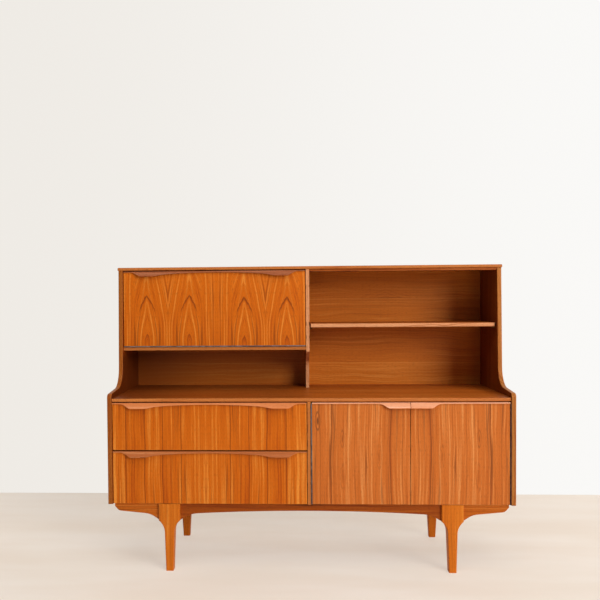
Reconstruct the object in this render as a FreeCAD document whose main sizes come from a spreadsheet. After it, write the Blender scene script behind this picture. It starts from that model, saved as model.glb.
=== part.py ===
"""Teak highboard hutch: a low cabinet with two drawers and two doors, and a shallower hutch on top
with a drop flap, a niche and an open shelf bay. Millimetres, +Z up, the front faces -Y, +X is the
right-hand end. The origin lies on the floor, in the middle of the overall box."""
import FreeCAD, Part
import Sketcher
import math
import os
import re

SIZES = {
    # Overall case
    "case_width": 1370,
    "case_depth": 432,
    "case_floor": 229,
    "worktop_level": 588.5,
    "overall_height": 1040,
    # Boards and their joints
    "side_thickness": 16,
    "top_thickness": 11,
    "top_overhang": 2.5,
    "worktop_thickness": 12.5,
    "worktop_setback": 5,
    "bottom_thickness": 16,
    "divider_thickness": 12,
    "divider_offset": 1,
    "back_thickness": 6,
    "back_recess": 1,
    "back_play": 0.5,
    "rebate_width": 8,
    "housing_depth": 6,
    "edge_round": 3,
    "soft_edge": 0.8,
    # Shaped front edge of the sides above the worktop
    "upper_setback": 183,
    "side_lean": 15,
    "nose_height": 14.5,
    "nose_radius": 14,
    "sweep_rise": 27.5,
    "sweep_radius": 70,
    # Upper divider with its cut-out
    "tail_level": 732,
    "tail_radius": 6,
    "cove_depth": 167,
    "cove_drop": 48,
    "cove_radius": 35,
    "divider_foot": 103,
    # Rail under the top, flap box floor and shelves
    "top_rail_height": 8,
    "top_rail_depth": 22,
    "top_rail_setback": 3,
    "flap_floor_level": 752,
    "flap_floor_thickness": 12,
    "display_shelf_level": 834,
    "display_shelf_setback": 8,
    "cupboard_shelf_level": 409,
    "cupboard_shelf_setback": 45,
    "shelf_thickness": 15,
    "shelf_end_gap": 4,
    "shelf_back_gap": 1,
    "peg_radius": 3,
    "peg_length": 18,
    "peg_bed": 8,
    "peg_inset": 24,
    "peg_play": 0.05,
    # Fronts
    "front_setback": 2,
    "front_thickness": 18,
    "side_gap": 2,
    "head_gap": 3,
    "floor_gap": 2,
    "meeting_gap": 2,
    "cover_gap": 1,
    "drawer_split": 410.8,
    "drawer_gap": 4.5,
    "hinge_gap": 4,
    # Carved pull strips
    "pull_cap": 3,
    "pull_drop": 18.5,
    "pull_proud": 15,
    "pull_crest": 1.5,
    "pull_tip": 2,
    "cut_margin": 1,
    "scoop_radius": 6.5,
    "scoop_setback": 5,
    "scoop_margin": 4,
    "pull_middle_drop": 5,
    "pull_arch": 149,
    "pull_arch_rise": 6,
    "pull_arch_radius": 130,
    "grip_start": 109,
    "grip_end": 63,
    "grip_tail": 34,
    "start_radius": 60,
    "end_radius": 9,
    "tail_curve": 44,
    "door_grip": 68,
    "door_grip_drop": 18.5,
    "door_tail": 95,
    # Drawer boxes and runners
    "drawer_side_thickness": 12,
    "drawer_side_play": 2,
    "drawer_length": 380,
    "drawer_lift": 18,
    "drawer_headroom": 30,
    "drawer_bottom_thickness": 4,
    "drawer_bottom_lift": 8,
    "drawer_groove": 5,
    "drawer_back_drop": 10,
    "runner_height": 12,
    "runner_width": 8,
    "runner_play": 0.3,
    "runner_end_gap": 0.5,
    "runner_front_gap": 12,
    # Long hinges
    "leaf_thickness": 0.9,
    "leaf_width": 15,
    "knuckle_radius": 1.9,
    "knuckle_clear": 0.4,
    "pin_radius": 0.95,
    "pin_play": 0.05,
    # Magnetic catches and strike plates
    "catch_length": 56,
    "catch_depth": 14,
    "catch_height": 14,
    "strike_thickness": 1.2,
    "strike_gap": 0.3,
    "strike_length": 24,
    "strike_height": 8,
    "strike_inset": 4,
    # Flap stay
    "stay_offset": 14,
    "stay_stand": 12,
    "stay_radius": 110,
    "stay_angle": 20,
    "rod_radius": 2.5,
    "rod_length": 199,
    "rod_play": 0.08,
    "stop_radius": 4,
    "stop_length": 6,
    "eye_radius": 6,
    "eye_width": 6,
    "stay_pin_radius": 2,
    "guide_radius": 9,
    "guide_back": 10,
    "guide_front": 6,
    "stud_radius": 3,
    "stud_reach": 6.5,
    "plate_thickness": 2,
    "plate_size": 30,
    "ear_thickness": 3,
    "ear_gap": 0.5,
    # Base frame
    "leg_spread": 477,
    "leg_setback": 4,
    "leg_depth": 42,
    "leg_head": 73,
    "head_depth": 57,
    "leg_neck": 34,
    "neck_drop": 16,
    "neck_radius": 53,
    "leg_foot": 25,
    "leg_foot_depth": 29,
    "leg_round": 3,
    "rail_setback": 14,
    "rail_thickness": 22,
    "rail_bend": 36,
    "rail_bend_depth": 36,
    "rail_bend_radius": 100,
    "arch_rise": 11.5,
    "rail_round": 2,
    "wing_inset": 20,
    "wing_tip": 11,
    "wing_shoulder": 13,
    "wing_shoulder_depth": 26,
    "wing_shoulder_radius": 18,
    "wing_bend": 30,
    "wing_bend_depth": 36.5,
    "wing_bend_radius": 70,
    "rear_leg_head": 42,
    "rear_leg_foot": 25,
    "rear_leg_inset": 7,
    "rear_leg_round": 5,
    "base_rail_height": 60,
    "base_rail_thickness": 20,
}
KNUCKLES_DOOR = 17
KNUCKLES_FLAP = 33
TOUCH = 0.01

# Places shared by several pieces, as formulas of the sizes. Depths count back from the front edges
# of the sides; FRONT is where that plane lies in the frame.
FRONT = "((pull_proud - front_setback - case_depth) / 2)"
HALF = "(case_width / 2)"
INNER = "(case_width / 2 - side_thickness)"
DIVIDER_LEFT = "(-divider_offset - divider_thickness / 2)"
DIVIDER_RIGHT = "(-divider_offset + divider_thickness / 2)"
TOP_UNDER = "(overall_height - top_thickness)"
WORKTOP_UNDER = "(worktop_level - worktop_thickness)"
BOTTOM_TOP = "(case_floor + bottom_thickness)"
BACK_FACE = "(case_depth - back_recess - back_thickness)"
FRONT_BACK = "(front_setback + front_thickness)"
FRONT_FLOOR = "(case_floor + floor_gap)"
FRONT_TOP = f"({WORKTOP_UNDER} - head_gap)"
DRAWER_LEFT = f"(-{INNER} + side_gap)"
DRAWER_RIGHT = f"({DIVIDER_LEFT} - side_gap)"
UPPER_DRAWER_FLOOR = "(drawer_split + drawer_gap / 2)"
LOWER_DRAWER_TOP = "(drawer_split - drawer_gap / 2)"
DOORS_LEFT = f"({DIVIDER_RIGHT} + hinge_gap)"
DOORS_RIGHT = f"({INNER} - hinge_gap)"
SEAM = f"(({DOORS_LEFT} + {DOORS_RIGHT}) / 2)"
FLAP_FACE = "(upper_setback + front_setback)"
FLAP_BACK = "(upper_setback + front_setback + front_thickness)"
FLAP_FLOOR = "(flap_floor_level + hinge_gap)"
FLAP_TOP = f"({TOP_UNDER} - head_gap)"
FLAP_AXIS = "(flap_floor_level + hinge_gap / 2)"
HEAD_LEVEL = "(case_floor - head_depth)"

doc = FreeCAD.newDocument("hutch")
sheet = doc.addObject("Spreadsheet::Sheet", "Sizes")
for row, (alias, value) in enumerate(SIZES.items(), start=1):
    sheet.set(f"A{row}", alias)
    sheet.set(f"B{row}", str(value))
    sheet.setAlias(f"B{row}", alias)
doc.recompute()

SIZE_WORD = re.compile(r"\b(" + "|".join(SIZES) + r")\b")
PIECES = []


def bind(thing, name, formula):
    """Ties a property to a formula of the sheet's sizes."""
    thing.setExpression(name, SIZE_WORD.sub(r"Sizes.\1", formula))


def place(thing, corner):
    """Ties a placement's position to three formulas."""
    for axis, formula in zip("xyz", corner):
        bind(thing, f"Placement.Base.{axis}", formula)


def depth(formula):
    """Turns a depth behind the sides' front edges into a Y position."""
    return f"{FRONT} + {formula}"


def minus(corner, origin):
    """The formulas of a corner seen from an origin."""
    return [f"({a}) - ({b})" for a, b in zip(corner, origin)]


def new_body(label, corner, turn=None):
    """A piece with its own label and placement."""
    body = doc.addObject("PartDesign::Body", label)
    body.Label = label
    if turn:
        body.Placement = FreeCAD.Placement(FreeCAD.Vector(), turn)
    place(body, corner)
    PIECES.append(body)
    return body


def block(body, kind, low, high):
    """Adds or cuts a box between two corners of the body's own frame."""
    box = body.newObject(f"PartDesign::{kind}Box", "block")
    for side, start, end in zip(("Length", "Width", "Height"), low, high):
        bind(box, side, f"({end}) - ({start})")
    place(box, low)
    return box


def cylinder(body, kind, centre, radius, length, turn=None):
    """Adds or cuts a cylinder that starts at a point of the body's own frame."""
    round_bar = body.newObject(f"PartDesign::{kind}Cylinder", "round_bar")
    bind(round_bar, "Radius", radius)
    bind(round_bar, "Height", length)
    if turn:
        round_bar.Placement = FreeCAD.Placement(FreeCAD.Vector(), turn)
    place(round_bar, centre)
    return round_bar


ALONG_X = FreeCAD.Rotation(FreeCAD.Vector(0, 1, 0), 90)
ALONG_Y = FreeCAD.Rotation(FreeCAD.Vector(1, 0, 0), -90)


def origin_part(body, role):
    """One of the body's own origin planes or axes."""
    return next(part for part in body.Origin.OriginFeatures if part.Role == role)


def outline(body, plane, corners):
    """A closed sketch with straight sides between corners, each two formulas."""
    sketch = body.newObject("Sketcher::SketchObject", "outline")
    sketch.AttachmentSupport = [(origin_part(body, plane), "")]
    sketch.MapMode = "FlatFace"
    count = len(corners)
    ring = [FreeCAD.Vector(math.cos(math.tau * n / count), math.sin(math.tau * n / count), 0)
            for n in range(count)]
    for n in range(count):
        sketch.addGeometry(Part.LineSegment(ring[n], ring[(n + 1) % count]))
    for n in range(count):
        sketch.addConstraint(Sketcher.Constraint("Coincident", n, 2, (n + 1) % count, 1))
    for n, corner in enumerate(corners):
        for way, formula in zip("XY", corner):
            number = sketch.addConstraint(Sketcher.Constraint(f"Distance{way}", -1, 1, n, 1, 1.0))
            sketch.renameConstraint(number, f"corner_{n}_{way}")
            bind(sketch, f"Constraints.corner_{n}_{way}", formula)
    return sketch


def pad(body, sketch, length, reverse=False):
    """Raises a sketch to a thickness."""
    raised = body.newObject("PartDesign::Pad", "pad")
    raised.Profile = sketch
    raised.Reversed = reverse
    bind(raised, "Length", length)
    doc.recompute()
    return raised


def pocket(body, sketch, length, reverse=False):
    """Cuts a sketch away and makes sure that it removed something."""
    doc.recompute()
    before = body.Tip.Shape.Volume
    cut = body.newObject("PartDesign::Pocket", "pocket")
    cut.Profile = sketch
    cut.Reversed = reverse
    bind(cut, "Length", length)
    doc.recompute()
    if cut.Shape.Volume >= before:
        raise RuntimeError(f"{body.Label}: a pocket removed nothing")
    return cut


def round_edges(body, radius, chosen):
    """Rounds the edges of the finished shape that the test picks."""
    doc.recompute()
    base = body.Tip
    names = [f"Edge{n}" for n, edge in enumerate(base.Shape.Edges, start=1) if chosen(edge)]
    rounding = body.newObject("PartDesign::Fillet", "rounding")
    rounding.Base = (base, names)
    bind(rounding, "Radius", radius)
    doc.recompute()
    if not names or "Invalid" in rounding.State:
        raise RuntimeError(f"{body.Label}: a rounding of {radius} failed on {len(names)} edges")
    return rounding


def round_corners(body, sketch, numbers, radius):
    """Rounds the edges that a pad raised on some corners of its sketch."""
    doc.recompute()
    points = [sketch.Placement.multVec(sketch.getPoint(n, 1)) for n in numbers]
    normal = sketch.Placement.Rotation.multVec(FreeCAD.Vector(0, 0, 1))

    def on_corner(edge):
        return any(all((end.Point - point).cross(normal).Length < TOUCH for end in edge.Vertexes)
                   for point in points)

    return round_edges(body, radius, on_corner)


def lies_at(edge, axis, value):
    """Whether both ends of an edge have one coordinate."""
    return all(abs(getattr(end.Point, axis) - value) < TOUCH for end in edge.Vertexes)


def round_front(body, radius):
    """Rounds every edge round the front face."""
    doc.recompute()
    front = body.Tip.Shape.BoundBox.YMin
    return round_edges(body, radius, lambda edge: lies_at(edge, "y", front))


def board(label, low, high, cuts=()):
    """A rectangular board between two corners, with boxes cut out of it."""
    body = new_body(label, low)
    block(body, "Additive", ("0", "0", "0"), minus(high, low))
    for cut_low, cut_high in cuts:
        block(body, "Subtractive", minus(cut_low, low), minus(cut_high, low))
    return body


def group(label, members):
    """Identical loose solids that share one node."""
    compound = doc.addObject("Part::Compound", label)
    compound.Label = label
    compound.Links = members
    PIECES.append(compound)
    return compound


def loose_box(name, low, high):
    """A plain box that belongs to a group."""
    box = doc.addObject("Part::Box", name)
    for side, start, end in zip(("Length", "Width", "Height"), low, high):
        bind(box, side, f"({end}) - ({start})")
    place(box, low)
    return box


# Boxes of the boards that end in housings, so that the board and its housing agree.
WORKTOP_LOW = (f"-({INNER} + housing_depth)", depth("worktop_setback"), WORKTOP_UNDER)
WORKTOP_HIGH = (f"{INNER} + housing_depth", depth(BACK_FACE), "worktop_level")
BOTTOM_LOW = (f"-({INNER} + housing_depth)", depth(f"({FRONT_BACK} + cover_gap)"), "case_floor")
BOTTOM_HIGH = (f"{INNER} + housing_depth", depth(BACK_FACE), BOTTOM_TOP)
FLAP_FLOOR_LOW = (f"-({INNER} + housing_depth)", depth(FLAP_FACE),
                  "flap_floor_level - flap_floor_thickness")
FLAP_FLOOR_HIGH = (DIVIDER_LEFT, depth(BACK_FACE), "flap_floor_level")

# Pegs stand in rows under the front and back of each shelf.
DISPLAY_SHELF_FRONT = "(upper_setback + display_shelf_setback)"
CUPBOARD_SHELF_FRONT = f"({FRONT_BACK} + cupboard_shelf_setback)"
SHELF_BACK = f"({BACK_FACE} - shelf_back_gap)"
SHELVES = (("display_shelf", DISPLAY_SHELF_FRONT, "display_shelf_level"),
           ("cupboard_shelf", CUPBOARD_SHELF_FRONT, "cupboard_shelf_level"))


def peg_places(front, level):
    """Depth and height of the two pegs at each end of a shelf."""
    height = f"({level} - shelf_thickness - peg_radius)"
    return [(depth(f"({front} + peg_inset)"), height), (depth(f"({SHELF_BACK} - peg_inset)"), height)]


def bore_for_pegs(body, origin, mouth, front, level, into_left):
    """Blind peg holes that start at a face and run left or right into the board."""
    start = f"({mouth}) - peg_bed" if into_left else mouth
    for y, z in peg_places(front, level):
        cylinder(body, "Subtractive", minus((start, y, z), origin), "peg_radius + peg_play",
                 "peg_bed", ALONG_X)


def side(label, outer, inner_end):
    """A side board: straight below, a rounded nose, then a sweep up to the set-back hutch.
    inner_end is 1 where the inner face has the larger X."""
    origin = (outer, FRONT, "0")
    body = new_body(label, origin)
    nose = "(worktop_level + nose_height)"
    profile = outline(body, "YZ_Plane", [
        ("case_depth", "case_floor"),
        ("case_depth", TOP_UNDER),
        ("upper_setback", TOP_UNDER),
        ("upper_setback - side_lean", "worktop_level + sweep_rise"),
        ("0", nose),
        ("0", "case_floor"),
    ])
    pad(body, profile, "side_thickness")
    round_corners(body, profile, [3], "sweep_radius")
    round_corners(body, profile, [4], "nose_radius")
    box = body.Tip.Shape.BoundBox
    round_edges(body, "edge_round", lambda edge: (
        (lies_at(edge, "x", box.XMin) or lies_at(edge, "x", box.XMax))
        and not lies_at(edge, "z", box.ZMin) and not lies_at(edge, "z", box.ZMax)
        and not lies_at(edge, "y", box.YMax)))
    rebate = ("side_thickness - rebate_width", "side_thickness") if inner_end else ("0", "rebate_width")
    block(body, "Subtractive", (rebate[0], BACK_FACE, "case_floor"),
          (rebate[1], "case_depth", TOP_UNDER))
    housed = [(WORKTOP_LOW, WORKTOP_HIGH), (BOTTOM_LOW, BOTTOM_HIGH)]
    if inner_end:
        housed.append((FLAP_FLOOR_LOW, FLAP_FLOOR_HIGH))
    reach = ("side_thickness - housing_depth", "side_thickness") if inner_end else ("0", "housing_depth")
    for low, high in housed:
        block(body, "Subtractive", (reach[0], *minus(low, origin)[1:]),
              (reach[1], *minus(high, origin)[1:]))
    if not inner_end:
        for _, front, level in SHELVES:
            bore_for_pegs(body, origin, INNER, front, level, into_left=False)


def case_boards():
    """The fixed boards of the case and the hutch."""
    side("left_side", f"-{HALF}", 1)
    side("right_side", INNER, 0)
    top = board("top_panel",
                (f"-({HALF} + top_overhang)", depth("upper_setback - edge_round"), TOP_UNDER),
                (f"{HALF} + top_overhang", depth("case_depth"), "overall_height"))
    doc.recompute()
    box = top.Tip.Shape.BoundBox
    round_edges(top, "edge_round", lambda edge: (
        lies_at(edge, "y", box.YMin) or (
            (lies_at(edge, "x", box.XMin) or lies_at(edge, "x", box.XMax))
            and not lies_at(edge, "y", box.YMax))))
    board("top_front_rail",
          (DIVIDER_RIGHT, depth("(upper_setback + top_rail_setback)"), f"{TOP_UNDER} - top_rail_height"),
          (INNER, depth("(upper_setback + top_rail_setback + top_rail_depth)"), TOP_UNDER))
    worktop = board("worktop", WORKTOP_LOW, WORKTOP_HIGH)
    doc.recompute()
    box = worktop.Tip.Shape.BoundBox
    round_edges(worktop, "edge_round", lambda edge: (
        lies_at(edge, "y", box.YMin) and (lies_at(edge, "z", box.ZMin) or lies_at(edge, "z", box.ZMax))))
    board("bottom_panel", BOTTOM_LOW, BOTTOM_HIGH)
    flap_floor = board("flap_box_floor", FLAP_FLOOR_LOW, FLAP_FLOOR_HIGH)
    round_front(flap_floor, "soft_edge")
    back_half = f"({INNER} + rebate_width - back_play)"
    meeting = "(worktop_level - worktop_thickness / 2)"
    board("upper_back_panel", (f"-{back_half}", depth(BACK_FACE), meeting),
          (back_half, depth(f"({BACK_FACE} + back_thickness)"), TOP_UNDER))
    board("lower_back_panel", (f"-{back_half}", depth(BACK_FACE), "case_floor"),
          (back_half, depth(f"({BACK_FACE} + back_thickness)"), meeting))


def dividers():
    """The plain lower divider and the upper one with its cut-out."""
    low = (DIVIDER_LEFT, depth("front_setback"), "case_floor")
    notch = ((DIVIDER_LEFT, BOTTOM_LOW[1], "case_floor"), (DIVIDER_RIGHT, depth(BACK_FACE), BOTTOM_TOP))
    lower = board("lower_divider", low, (DIVIDER_RIGHT, depth(BACK_FACE), WORKTOP_UNDER), [notch])
    round_front(lower, "soft_edge")
    _, front, level = SHELVES[1]
    bore_for_pegs(lower, low, DIVIDER_RIGHT, front, level, into_left=True)

    origin = (DIVIDER_LEFT, FRONT, "0")
    upper = new_body("upper_divider", origin)
    cove = "(tail_level - cove_drop)"
    profile = outline(upper, "YZ_Plane", [
        (BACK_FACE, "worktop_level"),
        (BACK_FACE, TOP_UNDER),
        ("upper_setback", TOP_UNDER),
        ("upper_setback", "tail_level"),
        ("upper_setback + cove_depth", cove),
        (f"{BACK_FACE} - divider_foot", "worktop_level"),
    ])
    pad(upper, profile, "divider_thickness")
    round_corners(upper, profile, [4], "cove_radius")
    round_corners(upper, profile, [3], "tail_radius")
    _, front, level = SHELVES[0]
    bore_for_pegs(upper, origin, DIVIDER_RIGHT, front, level, into_left=True)


def shelves():
    """The two loose shelves and the pegs that they lie on."""
    pegs = []
    for label, front, level in SHELVES:
        shelf = board(label,
                      (f"{DIVIDER_RIGHT} + shelf_end_gap", depth(front), f"{level} - shelf_thickness"),
                      (f"{INNER} - shelf_end_gap", depth(SHELF_BACK), level))
        round_front(shelf, "edge_round")
        for y, z in peg_places(front, level):
            for x in (f"{DIVIDER_RIGHT} - peg_bed", f"{INNER} + peg_bed - peg_length"):
                peg = doc.addObject("Part::Cylinder", "peg")
                bind(peg, "Radius", "peg_radius")
                bind(peg, "Height", "peg_length")
                peg.Placement = FreeCAD.Placement(FreeCAD.Vector(), ALONG_X)
                place(peg, (x, y, z))
                pegs.append(peg)
    group("shelf_pegs", pegs)


def arch_radius(half, rise):
    """Radius of the arc over a chord of two halves with a rise in the middle."""
    return f"(({half} * {half} + {rise} * {rise}) / (2 * {rise}))"


def limited(radius, before, corner, after):
    """A corner's radius, kept within half of the shorter wall beside it."""
    walls = [(f"(({x2}) - ({x1}))", f"(({z2}) - ({z1}))")
             for (x1, z1), (x2, z2) in ((before, corner), (corner, after))]
    shorter = "min({}; {})".format(*(f"sqrt({x} * {x} + {z} * {z})" for x, z in walls))
    turn = "abs({} - {})".format(*(f"atan({z} / {x})" for x, z in walls))
    return f"min({radius}; {shorter} / 2 / tan({turn} / 2))"


def raise_lip(body, edge, roundings, width, mirrored, heading=None):
    """Raises one stretch of a lip. edge lists distance from the strip's end and drop below its top;
    roundings pair the number of a corner in that list with a radius; heading is a point that the edge
    makes for beyond its last corner."""
    corners = [(edge[0][0], "0")] + [(x, f"-({drop})") for x, drop in edge] + [(edge[-1][0], "0")]
    if mirrored:
        corners = [(f"{width} - ({x})", z) for x, z in corners]
    profile = outline(body, "XZ_Plane", corners)
    pad(body, profile, "pull_proud")
    course = edge + [heading]
    for number, radius in roundings:
        round_corners(body, profile, [number + 1], limited(radius, *course[number - 1:number + 2]))


def cap_and_bevel(body, width):
    """Lays the strip over the top edge of its front and slants the lip's upper face."""
    block(body, "Additive", ("0", "0", "-pull_cap"), (width, "front_thickness", "0"))
    bevel = outline(body, "YZ_Plane", [
        ("-pull_crest", "0"),
        ("-pull_proud", "pull_tip - pull_drop"),
        ("-pull_proud - cut_margin", "pull_tip - pull_drop"),
        ("-pull_proud - cut_margin", "cut_margin"),
        ("-pull_crest", "cut_margin"),
    ])
    pocket(body, bevel, width, reverse=True)


def scoop(body, start, end, drop):
    """Hollows the underside of a grip for the fingertips."""
    cylinder(body, "Subtractive", (start, "-scoop_setback", f"-{drop}"), "scoop_radius",
             f"({end}) - ({start})", ALONG_X)


def wide_pull(label, face, top):
    """The pull of a drawer or the flap: two grips joined by a shallow arch."""
    body = new_body(label, (DRAWER_LEFT, depth(face), top))
    width = f"({DRAWER_RIGHT} - {DRAWER_LEFT})"
    middle = f"({width} / 2)"
    arch_floor = "(pull_middle_drop + pull_arch_rise)"
    block(body, "Additive", ("pull_arch", "-pull_proud", f"-{arch_floor}"),
          (f"{width} - pull_arch", "0", "0"))
    radius = arch_radius(f"({middle} - pull_arch)", "pull_arch_rise")
    cylinder(body, "Subtractive", (middle, "-pull_proud", f"-pull_middle_drop - {radius}"), radius,
             "pull_proud", ALONG_Y)
    edge = [("0", "pull_cap"), ("grip_tail", "pull_cap"), ("grip_end", "pull_drop"),
            ("grip_start", "pull_drop"), ("pull_arch", arch_floor)]
    arch_tangent = (middle, "pull_middle_drop - pull_arch_rise")
    roundings = [(1, "tail_curve"), (2, "end_radius"), (3, "start_radius"), (4, "pull_arch_radius")]
    for mirrored in (False, True):
        raise_lip(body, edge, roundings, width, mirrored, arch_tangent)
    cap_and_bevel(body, width)
    scoop(body, "grip_end + scoop_margin", "grip_start", "pull_drop")
    scoop(body, f"{width} - grip_start", f"{width} - grip_end - scoop_margin", "pull_drop")


def door_pull(label, left, right, mirrored):
    """The pull of a door: a plain cap with one grip at the meeting edge."""
    body = new_body(label, (left, depth("front_setback"), FRONT_TOP))
    width = f"({right} - {left})"
    edge = [("0", "pull_cap"), (f"{width} - door_tail", "pull_cap"),
            (f"{width} - door_grip", "door_grip_drop"), (width, "door_grip_drop")]
    raise_lip(body, edge, [(1, "tail_curve"), (2, "end_radius")], width, mirrored)
    cap_and_bevel(body, width)
    if mirrored:
        scoop(body, "scoop_margin", "door_grip - scoop_margin", "door_grip_drop")
    else:
        scoop(body, f"{width} - door_grip + scoop_margin", f"{width} - scoop_margin", "door_grip_drop")


def drawer(name, floor, top):
    """A drawer: veneered front, carved pull and a grooved box that hangs on two runners."""
    box_floor = f"({floor} + drawer_lift)"
    box_top = f"({top} - drawer_headroom)"
    box_back = f"({FRONT_BACK} + drawer_length)"
    bottom_low = f"({box_floor} + drawer_bottom_lift)"
    bottom_high = f"({bottom_low} + drawer_bottom_thickness)"
    left = f"(-{INNER} + drawer_side_play)"
    right = f"({DIVIDER_LEFT} - drawer_side_play)"
    bottom_left = f"({left} + drawer_side_thickness - drawer_groove)"
    bottom_right = f"({right} - drawer_side_thickness + drawer_groove)"
    bottom = ((bottom_left, depth(f"({FRONT_BACK} - drawer_groove)"), bottom_low),
              (bottom_right, depth(box_back), bottom_high))
    front = board(f"{name}_front", (DRAWER_LEFT, depth("front_setback"), floor),
                  (DRAWER_RIGHT, depth(FRONT_BACK), f"{top} - pull_cap"), [bottom])
    round_front(front, "soft_edge")
    wide_pull(f"{name}_pull", "front_setback", top)
    runner_level = f"(({box_floor} + {box_top}) / 2)"
    groove_floor = f"{runner_level} - runner_height / 2 - runner_play"
    groove_top = f"{runner_level} + runner_height / 2 + runner_play"
    groove = "(runner_width - drawer_side_play + runner_end_gap)"
    left_groove = ((left, depth(FRONT_BACK), groove_floor),
                   (f"{left} + {groove}", depth(box_back), groove_top))
    right_groove = ((f"{right} - {groove}", depth(FRONT_BACK), groove_floor),
                    (right, depth(box_back), groove_top))
    board(f"{name}_left_side", (left, depth(FRONT_BACK), box_floor),
          (f"{left} + drawer_side_thickness", depth(box_back), box_top), [bottom, left_groove])
    board(f"{name}_right_side", (f"{right} - drawer_side_thickness", depth(FRONT_BACK), box_floor),
          (right, depth(box_back), box_top), [bottom, right_groove])
    board(f"{name}_back", (f"{left} + drawer_side_thickness",
                           depth(f"({box_back} - drawer_side_thickness)"), bottom_high),
          (f"{right} - drawer_side_thickness", depth(box_back), f"{box_top} - drawer_back_drop"))
    board(f"{name}_bottom", *bottom)
    runner_front = depth(f"({FRONT_BACK} + runner_front_gap)")
    runner_low = f"{runner_level} - runner_height / 2"
    runner_high = f"{runner_level} + runner_height / 2"
    return [loose_box("runner", (f"-{INNER}", runner_front, runner_low),
                      (f"-{INNER} + runner_width", depth(BACK_FACE), runner_high)),
            loose_box("runner", (f"{DIVIDER_LEFT} - runner_width", runner_front, runner_low),
                      (DIVIDER_LEFT, depth(BACK_FACE), runner_high))]


def door(name, left, right, seam_is_right):
    """A door: veneered panel, carved pull at the meeting edge and a strike plate behind it."""
    panel = board(f"{name}_panel", (left, depth("front_setback"), FRONT_FLOOR),
                  (right, depth(FRONT_BACK), f"{FRONT_TOP} - pull_cap"))
    round_front(panel, "soft_edge")
    door_pull(f"{name}_pull", left, right, mirrored=not seam_is_right)
    start = f"({right} - strike_inset - strike_length)" if seam_is_right else f"({left} + strike_inset)"
    strike_top = f"({WORKTOP_UNDER} - catch_height + strike_height)"
    board(f"{name}_strike", (start, depth(FRONT_BACK), f"{strike_top} - strike_height"),
          (f"{start} + strike_length", depth(f"({FRONT_BACK} + strike_thickness)"), strike_top))


def catch(middle, front, top):
    """A magnetic catch fixed under a board, just behind the strike plates."""
    start = f"({front} + strike_thickness + strike_gap)"
    return loose_box("catch", (f"{middle} - catch_length / 2", depth(start), f"{top} - catch_height"),
                     (f"{middle} + catch_length / 2", depth(f"({start} + catch_depth)"), top))


def hinge(name, origin, length, knuckles, turn=None):
    """A long hinge. In its own frame the pin is Z, the frame leaf lies on the -X side, the moving
    leaf on the +X side, and both leaves run back along Y. Knuckles alternate along the pin."""
    step = f"({length} / {knuckles})"
    inside = "(hinge_gap / 2 - leaf_thickness)"
    outside = "(hinge_gap / 2)"
    plate_front = "(knuckle_radius + knuckle_clear)"
    for leaf, first, count, faces in (("frame_leaf", 0, (knuckles + 1) // 2, (f"-{outside}", f"-{inside}")),
                                      ("leaf", 1, (knuckles - 1) // 2, (inside, outside))):
        body = new_body(f"{name}_{leaf}", origin, turn)
        block(body, "Additive", (faces[0], plate_front, "0"), (faces[1], "leaf_width", length))
        start = f"({step} * {first} + knuckle_clear / 2)"
        end = f"({step} * {first + 1} - knuckle_clear / 2)"
        tab = block(body, "Additive", (faces[0], "0", start),
                    (faces[1], f"{plate_front} + knuckle_clear", end))
        barrel = cylinder(body, "Additive", ("0", "0", start), "knuckle_radius", f"{end} - {start}")
        row = body.newObject("PartDesign::LinearPattern", "row")
        row.Originals = [tab, barrel]
        row.Direction = (origin_part(body, "Z_Axis"), [""])
        bind(row, "Length", f"{step} * {2 * (count - 1)}")
        row.Occurrences = count
        body.Tip = row
        cylinder(body, "Subtractive", ("0", "0", "0"), "pin_radius + pin_play", length)
    pin = new_body(f"{name}_hinge_pin", origin, turn)
    cylinder(pin, "Additive", ("0", "0", "0"), "pin_radius", length)


def hinges():
    """Long hinges of both doors and the flap. The axis lies in the plane of the frame's edges."""
    height = f"({FRONT_TOP} - pull_cap - {FRONT_FLOOR})"
    hinge("left_door", (f"{DIVIDER_RIGHT} + hinge_gap / 2", FRONT, FRONT_FLOOR), height, KNUCKLES_DOOR)
    half_turn = FreeCAD.Rotation(FreeCAD.Vector(0, 1, 0), 180)
    hinge("right_door", (f"{INNER} - hinge_gap / 2", FRONT, f"{FRONT_TOP} - pull_cap"), height,
          KNUCKLES_DOOR, half_turn)
    lying = FreeCAD.Rotation(FreeCAD.Vector(0, 1, 0), -90)
    hinge("flap", (DRAWER_RIGHT, depth("upper_setback"), FLAP_AXIS),
          f"({DRAWER_RIGHT} - {DRAWER_LEFT})", KNUCKLES_FLAP, lying)


# Flap stay: the rod's eye on the flap and the guide on the side lie on one circle round the hinge
# axis, so the rod turns half as far as the flap.
ROD_X = f"(-{INNER} + stay_offset)"
EYE_BACK = "(front_setback + front_thickness + stay_stand)"
EYE_ANGLE = f"asin({EYE_BACK} / stay_radius)"
GUIDE_ANGLE = f"({EYE_ANGLE} + stay_angle * 1 deg)"
ROD_TILT = f"({EYE_ANGLE} + stay_angle * 0.5 deg)"
EYE = (ROD_X, depth(f"(upper_setback + {EYE_BACK})"), f"{FLAP_AXIS} + stay_radius * cos({EYE_ANGLE})")
GUIDE = (ROD_X, depth(f"(upper_setback + stay_radius * sin({GUIDE_ANGLE}))"),
         f"{FLAP_AXIS} + stay_radius * cos({GUIDE_ANGLE})")


def tilted_body(label, corner):
    """A piece whose Y axis follows the rod."""
    body = new_body(label, corner, FreeCAD.Rotation(FreeCAD.Vector(1, 0, 0), -1))
    bind(body, "Placement.Rotation.Angle", f"-{ROD_TILT}")
    return body


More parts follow.
